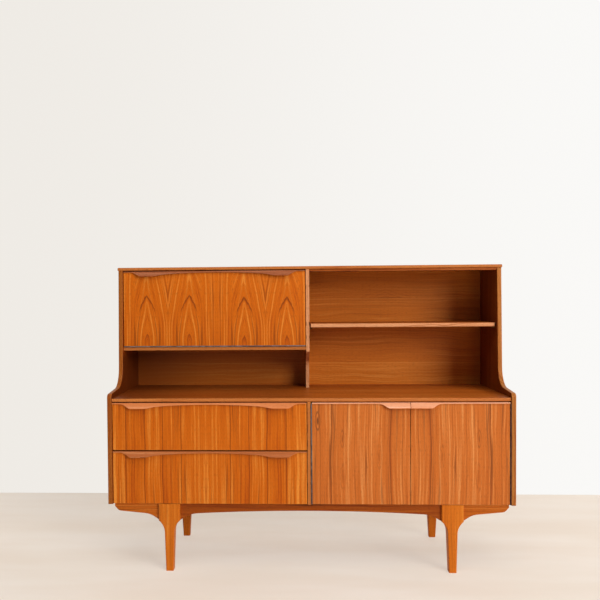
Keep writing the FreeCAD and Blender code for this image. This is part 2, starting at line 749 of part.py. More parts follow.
def flap_stay():
    """Rod with eye and stop, swivelling guide, plate with its stud, and the bracket on the flap."""
    rod = tilted_body("stay_rod", EYE)
    cylinder(rod, "Additive", ("0", "0", "0"), "rod_radius", "rod_length", ALONG_Y)
    cylinder(rod, "Additive", ("0", "rod_length - stop_length", "0"), "stop_radius", "stop_length", ALONG_Y)
    cylinder(rod, "Additive", ("-eye_width / 2", "0", "0"), "eye_radius", "eye_width", ALONG_X)
    cylinder(rod, "Subtractive", ("-eye_width / 2", "0", "0"), "stay_pin_radius + pin_play",
             "eye_width", ALONG_X)

    guide = tilted_body("stay_guide", GUIDE)
    cylinder(guide, "Additive", ("-guide_back", "0", "0"), "guide_radius",
             "guide_back + guide_front", ALONG_X)
    cylinder(guide, "Subtractive", ("0", "-guide_radius", "0"), "rod_radius + rod_play",
             "2 * guide_radius", ALONG_Y)
    cylinder(guide, "Subtractive", ("-guide_back", "0", "0"), "stud_radius + pin_play",
             "stud_reach", ALONG_X)

    plate_face = "(plate_thickness - stay_offset)"
    plate = new_body("stay_plate", GUIDE)
    block(plate, "Additive", ("-stay_offset", "-plate_size / 2", "-plate_size / 2"),
          (plate_face, "plate_size / 2", "plate_size / 2"))
    cylinder(plate, "Additive", (plate_face, "0", "0"), "stud_radius",
             f"stud_reach - guide_back - {plate_face} - pin_play", ALONG_X)

    bracket = new_body("stay_bracket", EYE)
    ear = "(eye_width / 2 + ear_gap)"
    block(bracket, "Additive", (f"-{ear}", "-stay_stand", "-plate_size / 2"),
          (f"{ear} + ear_thickness", "plate_thickness - stay_stand", "plate_size / 2"))
    block(bracket, "Additive", (ear, "-stay_stand", "-eye_radius"),
          (f"{ear} + ear_thickness", "eye_radius", "eye_radius"))
    cylinder(bracket, "Additive", ("-eye_width / 2 - ear_gap", "0", "0"), "stay_pin_radius",
             f"eye_width / 2 + ear_gap + {ear}", ALONG_X)


def flap():
    """The drop flap with its pull and strike plate."""
    panel = board("flap_panel", (DRAWER_LEFT, depth(FLAP_FACE), FLAP_FLOOR),
                  (DRAWER_RIGHT, depth(FLAP_BACK), f"{FLAP_TOP} - pull_cap"))
    round_front(panel, "soft_edge")
    wide_pull("flap_pull", FLAP_FACE, FLAP_TOP)
    middle = f"(({DRAWER_LEFT} + {DRAWER_RIGHT}) / 2)"
    strike_top = f"({TOP_UNDER} - catch_height + strike_height)"
    strike_low = f"({strike_top} - strike_height)"
    board("flap_strike", (f"{middle} - strike_length / 2", depth(FLAP_BACK), strike_low),
          (f"{middle} + strike_length / 2", depth(f"({FLAP_BACK} + strike_thickness)"), strike_top))
    return catch(middle, FLAP_BACK, TOP_UNDER)


def front_leg(label, middle):
    """A sculpted front leg: a broad head that flares into the rails and a slim tapered shank."""
    body = new_body(label, (f"{middle} - leg_head / 2", depth("leg_setback"), "0"))
    centre = "(leg_head / 2)"
    profile = outline(body, "XZ_Plane", [
        ("0", "case_floor"),
        ("0", HEAD_LEVEL),
        (f"{centre} - leg_neck / 2", f"{HEAD_LEVEL} - neck_drop"),
        (f"{centre} - leg_foot / 2", "0"),
        (f"{centre} + leg_foot / 2", "0"),
        (f"{centre} + leg_neck / 2", f"{HEAD_LEVEL} - neck_drop"),
        ("leg_head", HEAD_LEVEL),
        ("leg_head", "case_floor"),
    ])
    pad(body, profile, "leg_depth", reverse=True)
    round_corners(body, profile, [2, 5], "neck_radius")
    taper = outline(body, "YZ_Plane", [
        ("leg_depth", HEAD_LEVEL),
        ("leg_foot_depth", "0"),
        ("leg_depth + leg_round", "0"),
        ("leg_depth + leg_round", HEAD_LEVEL),
    ])
    pocket(body, taper, "leg_head", reverse=True)
    box = body.Tip.Shape.BoundBox
    round_edges(body, "leg_round", lambda edge: (
        lies_at(edge, "y", box.YMin) and not lies_at(edge, "z", box.ZMin)
        and not lies_at(edge, "z", box.ZMax)))


def rear_leg(label, middle):
    """A plain rear leg: a square head that takes the rails and a tapered shank."""
    half = "(rear_leg_head / 2)"
    centre_back = f"({BACK_FACE} - rear_leg_inset - rear_leg_head / 2)"
    body = new_body(label, (middle, depth(centre_back), "0"))
    head_floor = "(case_floor - base_rail_height)"
    block(body, "Additive", (f"-{half}", f"-{half}", head_floor), (half, half, "case_floor"))
    loft = body.newObject("PartDesign::AdditiveLoft", "shank")
    rings = []
    for width, level in (("rear_leg_head", head_floor), ("rear_leg_foot", "0")):
        edge = f"({width} / 2)"
        ring = outline(body, "XY_Plane", [(f"-{edge}", f"-{edge}"), (edge, f"-{edge}"),
                                          (edge, edge), (f"-{edge}", edge)])
        bind(ring, "AttachmentOffset.Base.z", level)
        rings.append(ring)
    loft.Profile = rings[0]
    loft.Sections = [rings[1]]
    loft.Ruled = True
    body.Tip = loft
    doc.recompute()
    box = body.Tip.Shape.BoundBox
    round_edges(body, "rear_leg_round", lambda edge: (
        not lies_at(edge, "z", box.ZMin)
        and any(abs(end.Point.z - box.ZMin) < TOUCH for end in edge.Vertexes)))


def round_underside(body, radius):
    """Rounds the lower front edges of a rail, from end to end."""
    doc.recompute()
    box = body.Tip.Shape.BoundBox
    round_edges(body, radius, lambda edge: (
        lies_at(edge, "y", box.YMin) and not lies_at(edge, "z", box.ZMax)
        and not lies_at(edge, "x", box.XMin) and not lies_at(edge, "x", box.XMax)))


def base_rails():
    """The arched front rail, the two wings outside the legs, and the plain rails behind."""
    start = "(leg_spread - leg_head / 2)"
    length = f"(2 * {start})"
    bend = "(case_floor - rail_bend_depth)"
    rail = new_body("front_rail", (f"-{start}", depth("rail_setback"), "0"))
    block(rail, "Additive", ("rail_bend", "0", bend),
          (f"{length} - rail_bend", "rail_thickness", "case_floor"))
    radius = arch_radius(f"({start} - rail_bend)", "arch_rise")
    cylinder(rail, "Subtractive", (start, "0", f"{bend} + arch_rise - {radius}"), radius,
             "rail_thickness", ALONG_Y)
    end = [("0", "case_floor"), ("0", HEAD_LEVEL), ("rail_bend", bend), ("rail_bend", "case_floor")]
    for corners in (end, [(f"{length} - ({x})", z) for x, z in end]):
        profile = outline(rail, "XZ_Plane", corners)
        pad(rail, profile, "rail_thickness", reverse=True)
        round_corners(rail, profile, [2], "rail_bend_radius")
    round_underside(rail, "rail_round")

    outer = f"({HALF} - wing_inset)"
    inner = "(leg_spread + leg_head / 2)"
    wing_length = f"({outer} - {inner})"
    for label, left, mirrored in (("left_wing_rail", f"-{outer}", False), ("right_wing_rail", inner, True)):
        wing = new_body(label, (left, depth("rail_setback"), "0"))
        corners = [("0", "case_floor"), ("0", "case_floor - wing_tip"),
                   ("wing_shoulder", "case_floor - wing_shoulder_depth"),
                   (f"{wing_length} - wing_bend", "case_floor - wing_bend_depth"),
                   (wing_length, HEAD_LEVEL), (wing_length, "case_floor")]
        if mirrored:
            corners = [(f"{wing_length} - ({x})", z) for x, z in corners]
        profile = outline(wing, "XZ_Plane", corners)
        pad(wing, profile, "rail_thickness", reverse=True)
        round_corners(wing, profile, [2], limited("wing_shoulder_radius", *corners[1:4]))
        round_corners(wing, profile, [3], limited("wing_bend_radius", *corners[2:5]))
        round_underside(wing, "rail_round")

    rail_floor = "case_floor - base_rail_height"
    rear_face = f"({BACK_FACE} - rear_leg_inset - rear_leg_head)"
    rear_middle = f"({rear_face} + rear_leg_head / 2)"
    rear_start = "(leg_spread - rear_leg_head / 2)"
    board("rear_rail",
          (f"-{rear_start}", depth(f"({rear_middle} - base_rail_thickness / 2)"), rail_floor),
          (rear_start, depth(f"({rear_middle} + base_rail_thickness / 2)"), "case_floor"))
    for label, middle in (("left_cross_rail", "-leg_spread"), ("right_cross_rail", "leg_spread")):
        board(label,
              (f"{middle} - base_rail_thickness / 2", depth("(leg_setback + leg_depth)"), rail_floor),
              (f"{middle} + base_rail_thickness / 2", depth(rear_face), "case_floor"))


case_boards()
dividers()
shelves()
runners = drawer("upper_drawer", UPPER_DRAWER_FLOOR, FRONT_TOP)
runners += drawer("lower_drawer", FRONT_FLOOR, LOWER_DRAWER_TOP)
group("drawer_runners", runners)
door("left_door", DOORS_LEFT, f"({SEAM} - meeting_gap / 2)", seam_is_right=True)
door("right_door", f"({SEAM} + meeting_gap / 2)", DOORS_RIGHT, seam_is_right=False)
flap_catch = flap()
group("magnetic_catches", [catch(SEAM, FRONT_BACK, WORKTOP_UNDER), flap_catch])
hinges()
flap_stay()
for leg_label, leg_middle in (("front_left_leg", "-leg_spread"), ("front_right_leg", "leg_spread")):
    front_leg(leg_label, leg_middle)
for leg_label, leg_middle in (("rear_left_leg", "-leg_spread"), ("rear_right_leg", "leg_spread")):
    rear_leg(leg_label, leg_middle)
base_rails()
doc.recompute()

for item in doc.Objects:
    if "Invalid" in item.State or "Error" in item.State:
        raise RuntimeError(f"{item.Label}: not built, {item.State}")
for piece in PIECES:
    if piece.Shape.isNull() or not piece.Shape.isValid():
        raise RuntimeError(f"{piece.Label}: shape is missing or not valid")
os.makedirs("parts", exist_ok=True)
for piece in PIECES:
    piece.Shape.exportStep(f"parts/{piece.Label}.step")
print(len(PIECES), "pieces")
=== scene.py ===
"""Teak highboard hutch: finishes, fixings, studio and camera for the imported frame."""
import bpy
import bmesh
import math
from mathutils import Matrix, Vector


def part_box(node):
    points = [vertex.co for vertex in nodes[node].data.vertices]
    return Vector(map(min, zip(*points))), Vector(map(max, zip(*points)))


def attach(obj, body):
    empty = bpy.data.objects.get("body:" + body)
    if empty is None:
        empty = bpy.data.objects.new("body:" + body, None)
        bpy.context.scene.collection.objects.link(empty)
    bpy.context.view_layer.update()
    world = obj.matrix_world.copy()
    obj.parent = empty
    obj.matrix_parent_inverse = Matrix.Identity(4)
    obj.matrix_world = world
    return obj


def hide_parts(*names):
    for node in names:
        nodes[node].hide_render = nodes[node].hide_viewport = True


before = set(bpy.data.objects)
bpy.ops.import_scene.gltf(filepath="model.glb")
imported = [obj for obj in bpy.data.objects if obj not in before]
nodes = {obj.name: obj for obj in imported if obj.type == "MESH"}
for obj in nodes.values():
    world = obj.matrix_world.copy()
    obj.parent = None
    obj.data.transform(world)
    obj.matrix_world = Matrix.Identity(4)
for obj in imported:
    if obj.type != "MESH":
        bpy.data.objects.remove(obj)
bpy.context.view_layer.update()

# Camera, matched to the photograph
CAMERA_PLACE = (-0.034453, -2.671248, 0.904513)
CAMERA_YAW = math.radians(2.496)
CAMERA_PITCH = math.radians(-1.55)
CAMERA_ROLL = math.radians(-0.431)
SENSOR_WIDTH = 36.0
FOCAL_LENGTH = 44.173
FRAME_SHIFT = (0.0561, 0.0403)

# Studio: the wall stands behind the object, and both sheets reach far past the picture, in metres
WALL_DEPTH = 0.82
FLOOR_REACH = 7.0
WALL_HEIGHT = 5.0

# Shader space is in millimetres
MILLIMETRES = 1000.0


def paint(red, green, blue):
    """A colour from its screen values, 0 to 255, as Blender's linear colour."""
    def linear(value):
        value /= 255
        return value / 12.92 if value <= 0.04045 else ((value + 0.055) / 1.055) ** 2.4
    return (linear(red), linear(green), linear(blue), 1.0)


class Palette:
    """Colours of one timber: its dark, middle and light wood, its growth lines and its solid lipping."""

    def __init__(self, dark, middle, light, line, lipping):
        self.dark = paint(*dark)
        self.middle = paint(*middle)
        self.light = paint(*light)
        self.line = paint(*line)
        self.lipping = paint(*lipping)


FRONT_TEAK = Palette((170, 72, 4), (202, 100, 10), (228, 140, 52), (116, 52, 10), (184, 96, 26))
DOOR_TEAK = Palette((170, 82, 26), (199, 107, 40), (226, 148, 82), (112, 62, 30), (184, 100, 40))
# Pulls: pale teak, partly a painted highlight on their upper faces that is strongest on the doors; the flap's
# and the lower drawer's are darker copies as painted shade.
PULL_TEAK = Palette((192, 104, 54), (216, 132, 80), (234, 160, 112), (142, 70, 32), (203, 103, 24))
SHADED_FLAP_PULL_TEAK = Palette((132, 68, 36), (164, 96, 62), (190, 126, 92), (84, 30, 8), (150, 74, 30))
SHADED_LOW_PULL_TEAK = Palette((150, 76, 30), (182, 106, 56), (206, 136, 88), (110, 52, 20), (170, 84, 24))
HIGHLIT_DOOR_PULL_TEAK = Palette((226, 148, 106), (246, 178, 140), (252, 200, 170), (158, 84, 46), (203, 109, 38))
# Sides: darker copies of the case teak as painted shade on their inner faces; the right side's paler light
# wood and lipping are a painted highlight on its front edge.
SHADED_SIDE_TEAK = Palette((118, 46, 4), (142, 62, 8), (170, 92, 30), (74, 26, 2), (154, 86, 26))
RIGHT_SIDE_SHADE_AND_HIGHLIGHT_TEAK = Palette((118, 46, 4), (142, 62, 8), (186, 116, 60), (74, 26, 2), (176, 110, 48))
CASE_TEAK = Palette((136, 58, 8), (162, 78, 16), (192, 114, 50), (84, 34, 4), (188, 112, 54))
# Display shelf and upper divider: case teak whose pale lipping is a painted highlight on the front edges.
EDGE_HIGHLIGHT_TEAK = Palette((136, 58, 8), (162, 78, 16), (192, 114, 50), (84, 34, 4), (218, 154, 108))
WORKTOP_TEAK = Palette((150, 67, 14), (178, 90, 24), (206, 128, 62), (84, 30, 3), (188, 112, 54))
BACK_TEAK = Palette((184, 96, 24), (203, 112, 30), (220, 136, 54), (128, 60, 14), (203, 112, 30))
LEG_TEAK = Palette((184, 90, 12), (206, 110, 22), (226, 138, 50), (130, 60, 10), (206, 110, 22))
WING_TEAK = Palette((164, 76, 8), (186, 94, 18), (208, 122, 46), (116, 52, 6), (186, 94, 18))
# Front rail: darker teak, partly painted shade from the case's overhang.
RAIL_TEAK_AND_SHADE = Palette((130, 54, 4), (152, 70, 8), (180, 100, 32), (92, 38, 2), (152, 70, 8))
FRAME_BEECH = Palette((176, 122, 76), (196, 144, 96), (212, 166, 118), (140, 92, 54), (196, 144, 96))
DRAWER_BEECH = Palette((196, 156, 110), (214, 178, 132), (228, 198, 156), (170, 126, 82), (214, 178, 132))
BARE_PLY = paint(160, 114, 72)
# Plain teak that the sides' outer faces are mixed toward, away from their painted shade.
OUTER_SIDE_TEAK = paint(198, 106, 36)


class Graph:
    """Adds nodes to a node tree. A number, a colour or another node's output can feed any input."""

    def __init__(self, tree):
        self.tree = tree

    def add(self, kind, **settings):
        node = self.tree.nodes.new(kind)
        for name, value in settings.items():
            setattr(node, name, value)
        return node

    def feed(self, socket, value):
        if isinstance(value, bpy.types.NodeSocket):
            self.tree.links.new(value, socket)
        elif value is not None:
            socket.default_value = value

    def calc(self, operation, first, second=None, third=None, clamp=False):
        node = self.add("ShaderNodeMath", operation=operation, use_clamp=clamp)
        for socket, value in zip(node.inputs, (first, second, third)):
            self.feed(socket, value)
        return node.outputs[0]

    def total(self, *terms):
        result = terms[0]
        for term in terms[1:]:
            result = self.calc("ADD", result, term)
        return result

    def scaled(self, value, factor):
        return self.calc("MULTIPLY", value, factor)

    def step(self, value, low, high):
        """0 below low, 1 above high and smooth between; low may be the larger."""
        node = self.add("ShaderNodeMapRange", interpolation_type="SMOOTHSTEP")
        self.feed(node.inputs["Value"], value)
        self.feed(node.inputs["From Min"], low)
        self.feed(node.inputs["From Max"], high)
        return node.outputs["Result"]

    def join(self, across, along=0.0, through=0.0):
        node = self.add("ShaderNodeCombineXYZ")
        for socket, value in zip(node.inputs, (across, along, through)):
            self.feed(socket, value)
        return node.outputs[0]

    def split(self, vector):
        node = self.add("ShaderNodeSeparateXYZ")
        self.feed(node.inputs[0], vector)
        return tuple(node.outputs)

    def vector(self, operation, first, second):
        node = self.add("ShaderNodeVectorMath", operation=operation)
        self.feed(node.inputs[0], first)
        self.feed(node.inputs[1], second)
        return node.outputs["Vector"]

    def noise(self, vector, detail=2.0, roughness=0.5):
        """Noise of about 0.3 to 0.7 whose grains are one unit wide."""
        node = self.add("ShaderNodeTexNoise", noise_dimensions="3D")
        self.feed(node.inputs["Vector"], vector)
        node.inputs["Scale"].default_value = 1.0
        node.inputs["Detail"].default_value = detail
        node.inputs["Roughness"].default_value = roughness
        return node.outputs["Fac"]

    def mix(self, amount, first, second):
        node = self.add("ShaderNodeMix", data_type="RGBA", clamp_factor=True)
        self.feed(node.inputs["Factor"], amount)
        self.feed(node.inputs[6], first)
        self.feed(node.inputs[7], second)
        return node.outputs[2]

    def stops(self, value, reach, marks):
        """A tone that runs through listed marks, each a distance and a tone."""
        node = self.add("ShaderNodeValToRGB")
        self.feed(node.inputs["Fac"], self.scaled(value, 1 / reach))
        ramp = node.color_ramp
        ramp.interpolation = "EASE"
        while len(ramp.elements) < len(marks):
            ramp.elements.new(0.5)
        for element, (distance, tone) in zip(ramp.elements, marks):
            element.position = distance / reach
            element.color = (tone, tone, tone, 1.0)
        return node.outputs["Color"]

    def effect(self, name, **given):
        """Places a node group; underscores in the names stand for spaces."""
        node = self.add("ShaderNodeGroup", node_tree=bpy.data.node_groups[name])
        for label, value in given.items():
            self.feed(node.inputs[label.replace("_", " ")], value)
        return node.outputs

    def place(self):
        """The point on the piece in millimetres, as a vector."""
        node = self.add("ShaderNodeTexCoord")
        return self.vector("MULTIPLY", node.outputs["Object"], (MILLIMETRES,) * 3)

    def facing(self):
        """How squarely the surface looks along X, Y and Z, as three values from -1 to 1."""
        return self.split(self.add("ShaderNodeTexCoord").outputs["Normal"])


SOCKETS = {"value": "NodeSocketFloat", "colour": "NodeSocketColor", "vector": "NodeSocketVector"}
# The middle of noise and of a tone, which both run from 0 to 1
NOISE_MIDDLE = 0.5
TONE_MIDDLE = 0.5


def new_effect(name, inputs, outputs):
    """An empty node group. inputs and outputs map a socket's name to its kind."""
    tree = bpy.data.node_groups.new(name, "ShaderNodeTree")
    for label, kind in inputs.items():
        tree.interface.new_socket(label, in_out="INPUT", socket_type=SOCKETS[kind])
    for label, kind in outputs.items():
        tree.interface.new_socket(label, in_out="OUTPUT", socket_type=SOCKETS[kind])
    graph = Graph(tree)
    return graph, graph.add("NodeGroupInput").outputs, graph.add("NodeGroupOutput").inputs


# Grain: the share of each layer in a board's tone and what centres it, how near to a contour a growth line
# begins and is full, and the levels of noise between which lines and pores show
BAND_SHARE = 0.6
STREAK_SHARE = 1.5
FIBRE_SHARE = 0.7
TONE_CENTRE = -0.9
LINE_NEARNESS = (0.028, 0.004)
LINE_LEVELS = (0.42, 0.62)
PORE_LEVELS = (0.56, 0.68)


def make_timber_grain():
    """Grain of a board: slow bands of tone, thin growth lines, fibres and pores."""
    graph, given, result = new_effect(
        "timber_grain",
        {"Ring": "value", "Along": "value", "Seed": "value"},
        {"Tone": "value", "Line": "value", "Pore": "value", "Fibre": "value"})
    ring, along, seed = given["Ring"], given["Along"], given["Seed"]

    def layer(width, length, detail):
        """Noise drawn out along the grain; its width and length are in mm."""
        place = graph.join(graph.scaled(ring, 1 / width), graph.scaled(along, 1 / length), seed)
        return graph.noise(place, detail)

    bands = layer(width=34, length=900, detail=1.0)
    streaks = layer(width=6.5, length=420, detail=2.0)
    fibre = layer(width=1.6, length=110, detail=3.0)
    tone = graph.total(graph.scaled(bands, BAND_SHARE), graph.scaled(streaks, STREAK_SHARE),
                       graph.scaled(fibre, FIBRE_SHARE), TONE_CENTRE)
    graph.feed(result["Tone"], graph.calc("ADD", tone, 0.0, clamp=True))

    contour = layer(width=15, length=1600, detail=1.5)
    distance = graph.calc("ABSOLUTE", graph.calc("SUBTRACT", contour, NOISE_MIDDLE))
    strength = graph.step(layer(width=22, length=300, detail=1.0), *LINE_LEVELS)
    graph.feed(result["Line"], graph.calc("MULTIPLY", graph.step(distance, *LINE_NEARNESS), strength))

    dashes = layer(width=0.7, length=14, detail=1.0)
    graph.feed(result["Pore"], graph.step(dashes, *PORE_LEVELS))
    graph.feed(result["Fibre"], fibre)


# Size of the grain's slow drift across and along a board, in mm
WAVER_WIDTH = 190
WAVER_LENGTH = 260


def make_waver():
    """Slow sideways drift of grain along a board."""
    graph, given, result = new_effect(
        "grain_waver",
        {"Across": "value", "Along": "value", "Drift": "value", "Seed": "value"},
        {"Ring": "value"})
    place = graph.join(graph.scaled(given["Across"], 1 / WAVER_WIDTH),
                       graph.scaled(given["Along"], 1 / WAVER_LENGTH), given["Seed"])
    slow = graph.calc("SUBTRACT", graph.noise(place), NOISE_MIDDLE)
    drift = graph.calc("MULTIPLY", slow, given["Drift"])
    graph.feed(result["Ring"], graph.calc("ADD", given["Across"], drift))


def make_crown():
    """Crown figure: nested pointed arches where the cut runs along the growth rings. Offset is the distance
    from the arches' middle, Rise the height above their foot, Steep an arch's height for each unit of its
    half width, Point how sharp its head is and Blunt the rounding of the tip."""
    graph, given, result = new_effect(
        "crown_figure",
        {"Offset": "value", "Rise": "value", "Steep": "value", "Point": "value", "Blunt": "value"},
        {"Ring": "value"})

    def square(value):
        return graph.calc("MULTIPLY", value, value)

    away = graph.calc("SQRT", graph.total(square(given["Offset"]), square(given["Blunt"])))
    height = graph.calc("DIVIDE", given["Rise"], given["Steep"])
    tent = graph.calc("MULTIPLY", away, given["Point"])
    fourths = [square(square(side)) for side in (graph.calc("SUBTRACT", away, tent), height)]
    arch = graph.calc("SQRT", graph.calc("SQRT", graph.total(*fourths)))
    graph.feed(result["Ring"], graph.calc("ADD", tent, arch))


# Eyes: how much of the grain parts round one, and where its heart and its rim begin and end, as squares of
# the distance from the middle
EYE_PARTING = -0.85
HEART_EDGE = (0.25, 0.02)
RIM_START = (0.40, 0.70)
RIM_END = (1.15, 0.80)


def make_eye():
    """An eye in the grain: lines part round it, its heart and its rim are dark. Offset and Rise count from
    its middle."""
    graph, given, result = new_effect(
        "grain_eye",
        {"Offset": "value", "Rise": "value", "Half Width": "value", "Half Height": "value"},
        {"Push": "value", "Heart": "value", "Rim": "value"})
    across = graph.calc("DIVIDE", given["Offset"], given["Half Width"])
    along = graph.calc("DIVIDE", given["Rise"], given["Half Height"])
    square = graph.total(graph.calc("MULTIPLY", across, across), graph.calc("MULTIPLY", along, along))
    bell = graph.calc("EXPONENT", graph.scaled(square, -1.0))
    graph.feed(result["Push"], graph.calc("MULTIPLY", graph.scaled(given["Offset"], EYE_PARTING), bell))
    graph.feed(result["Heart"], graph.step(square, *HEART_EDGE))
    graph.feed(result["Rim"], graph.calc("MULTIPLY", graph.step(square, *RIM_START),
                                         graph.step(square, *RIM_END)))


# Wear: how close its patches and nicks lie, for each mm, and the levels of noise between which they show
WEAR_SCALE = (0.03, 0.03, 0.03)
WEAR_LEVELS = (0.35, 0.65)
NICK_SCALE = (0.045, 0.045, 0.045)
NICK_LEVELS = (0.66, 0.70)


def make_edge_wear():
    """Rubbed edges of a board that fills the box between two corners."""
    graph, given, result = new_effect(
        "edge_wear",
        {"Place": "vector", "Low": "vector", "High": "vector", "Reach": "value"},
        {"Wear": "value", "Chip": "value"})
    from_low = graph.split(graph.vector("SUBTRACT", given["Place"], given["Low"]))
    from_high = graph.split(graph.vector("SUBTRACT", given["High"], given["Place"]))
    gaps = [graph.calc("ABSOLUTE", graph.calc("MINIMUM", a, b)) for a, b in zip(from_low, from_high)]
    least = graph.calc("MINIMUM", gaps[0], graph.calc("MINIMUM", gaps[1], gaps[2]))
    most = graph.calc("MAXIMUM", gaps[0], graph.calc("MAXIMUM", gaps[1], gaps[2]))
    second = graph.calc("SUBTRACT", graph.calc("SUBTRACT", graph.total(*gaps), least), most)
    near = graph.step(second, given["Reach"], 0.0)
    patches = graph.noise(graph.vector("MULTIPLY", given["Place"], WEAR_SCALE), detail=3.0)
    graph.feed(result["Wear"], graph.calc("MULTIPLY", near, graph.step(patches, *WEAR_LEVELS)))
    nicks = graph.noise(graph.vector("MULTIPLY", given["Place"], NICK_SCALE), detail=0.0)
    graph.feed(result["Chip"], graph.calc("MULTIPLY", near, graph.step(nicks, *NICK_LEVELS)))


# Finish: how much pores and wear tint the wood, the oiled surface's roughness and what changes it, and the
# relief of fibres, pores and lines
PORE_TINT = 0.38
WEAR_TINT = 0.55
OILED_ROUGHNESS = 0.46
PORE_ROUGHNESS = 0.14
TONE_ROUGHNESS = -0.06
WEAR_ROUGHNESS = -0.05
FIBRE_RELIEF = 0.35
PORE_RELIEF = -0.6
LINE_RELIEF = -0.15


def make_timber_finish():
    """Oiled timber: puts the grain's tones, lines, pores and wear together as colour, gloss and relief."""
    graph, given, result = new_effect(
        "timber_finish",
        {"Tone": "value", "Line": "value", "Pore": "value", "Fibre": "value", "Wear": "value",
         "Dark": "colour", "Middle": "colour", "Light": "colour", "Line Colour": "colour"},
        {"Colour": "colour", "Roughness": "value", "Height": "value"})
    tone = given["Tone"]
    wood = graph.mix(graph.step(tone, 0.0, TONE_MIDDLE), given["Dark"], given["Middle"])
    wood = graph.mix(graph.step(tone, TONE_MIDDLE, 1.0), wood, given["Light"])
    wood = graph.mix(given["Line"], wood, given["Line Colour"])
    wood = graph.mix(graph.scaled(given["Pore"], PORE_TINT), wood, given["Line Colour"])
    graph.feed(result["Colour"], graph.mix(graph.scaled(given["Wear"], WEAR_TINT), wood, given["Light"]))
    graph.feed(result["Roughness"], graph.total(
        graph.scaled(given["Pore"], PORE_ROUGHNESS), graph.scaled(tone, TONE_ROUGHNESS),
        graph.scaled(given["Wear"], WEAR_ROUGHNESS), OILED_ROUGHNESS))
    graph.feed(result["Height"], graph.total(
        graph.scaled(given["Fibre"], FIBRE_RELIEF), graph.scaled(given["Pore"], PORE_RELIEF),
        graph.scaled(given["Line"], LINE_RELIEF)))


# Metal: how close its drawn lines and dull patches lie, for each mm, and the levels of noise between which
# it turns dull
DRAWN_SCALE = (3.0, 3.0, 0.12)
DULL_SCALE = (0.05, 0.05, 0.05)
DULL_LEVELS = (0.4, 0.65)


def make_rubbed_metal():
    """Handled steel: fine drawn lines and dull patches."""
    graph, given, result = new_effect(
        "rubbed_metal", {"Place": "vector"}, {"Drawn": "value", "Dull": "value"})
    drawn = graph.noise(graph.vector("MULTIPLY", given["Place"], DRAWN_SCALE))
    dull = graph.noise(graph.vector("MULTIPLY", given["Place"], DULL_SCALE), detail=4.0)
    graph.feed(result["Drawn"], drawn)
    graph.feed(result["Dull"], graph.step(dull, *DULL_LEVELS))


for make_effect in (make_timber_grain, make_waver, make_crown, make_eye, make_edge_wear, make_timber_finish,
                    make_rubbed_metal):
    make_effect()


def new_material(name):
    """An empty material with its graph and its shader."""
    material = bpy.data.materials.new(name)
    material.use_nodes = True
    graph = Graph(material.node_tree)
    return material, graph, material.node_tree.nodes["Principled BSDF"]


def dress(node, material):
    """Gives a frame node its finish."""
    slots = nodes[node].material_slots
    if not slots:
        nodes[node].data.materials.append(material)
    for slot in slots:
        slot.material = material


def corners(node):
    """A node's lowest and highest corner in millimetres."""
    return tuple(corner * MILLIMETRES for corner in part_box(node))


AXES = {"x": 0, "y": 1, "z": 2}
# A surface belongs to a face where it looks along the face's axis: where that begins and is full, and where
# lipping begins and is full
TURNED = (0.2, 0.6)
NOT_TURNED = (0.6, 0.2)
LIPPING_TURN = (0.75, 0.45)
# The tones between which a stripe becomes a growth line, the wear's reach in mm, and the surface's relief
STRIPE_LINE = (0.30, 0.05)
WEAR_REACH = 2.5
RELIEF_STRENGTH = 0.3
RELIEF_DEPTH = 0.0003
OILED_SPECULAR = 0.14


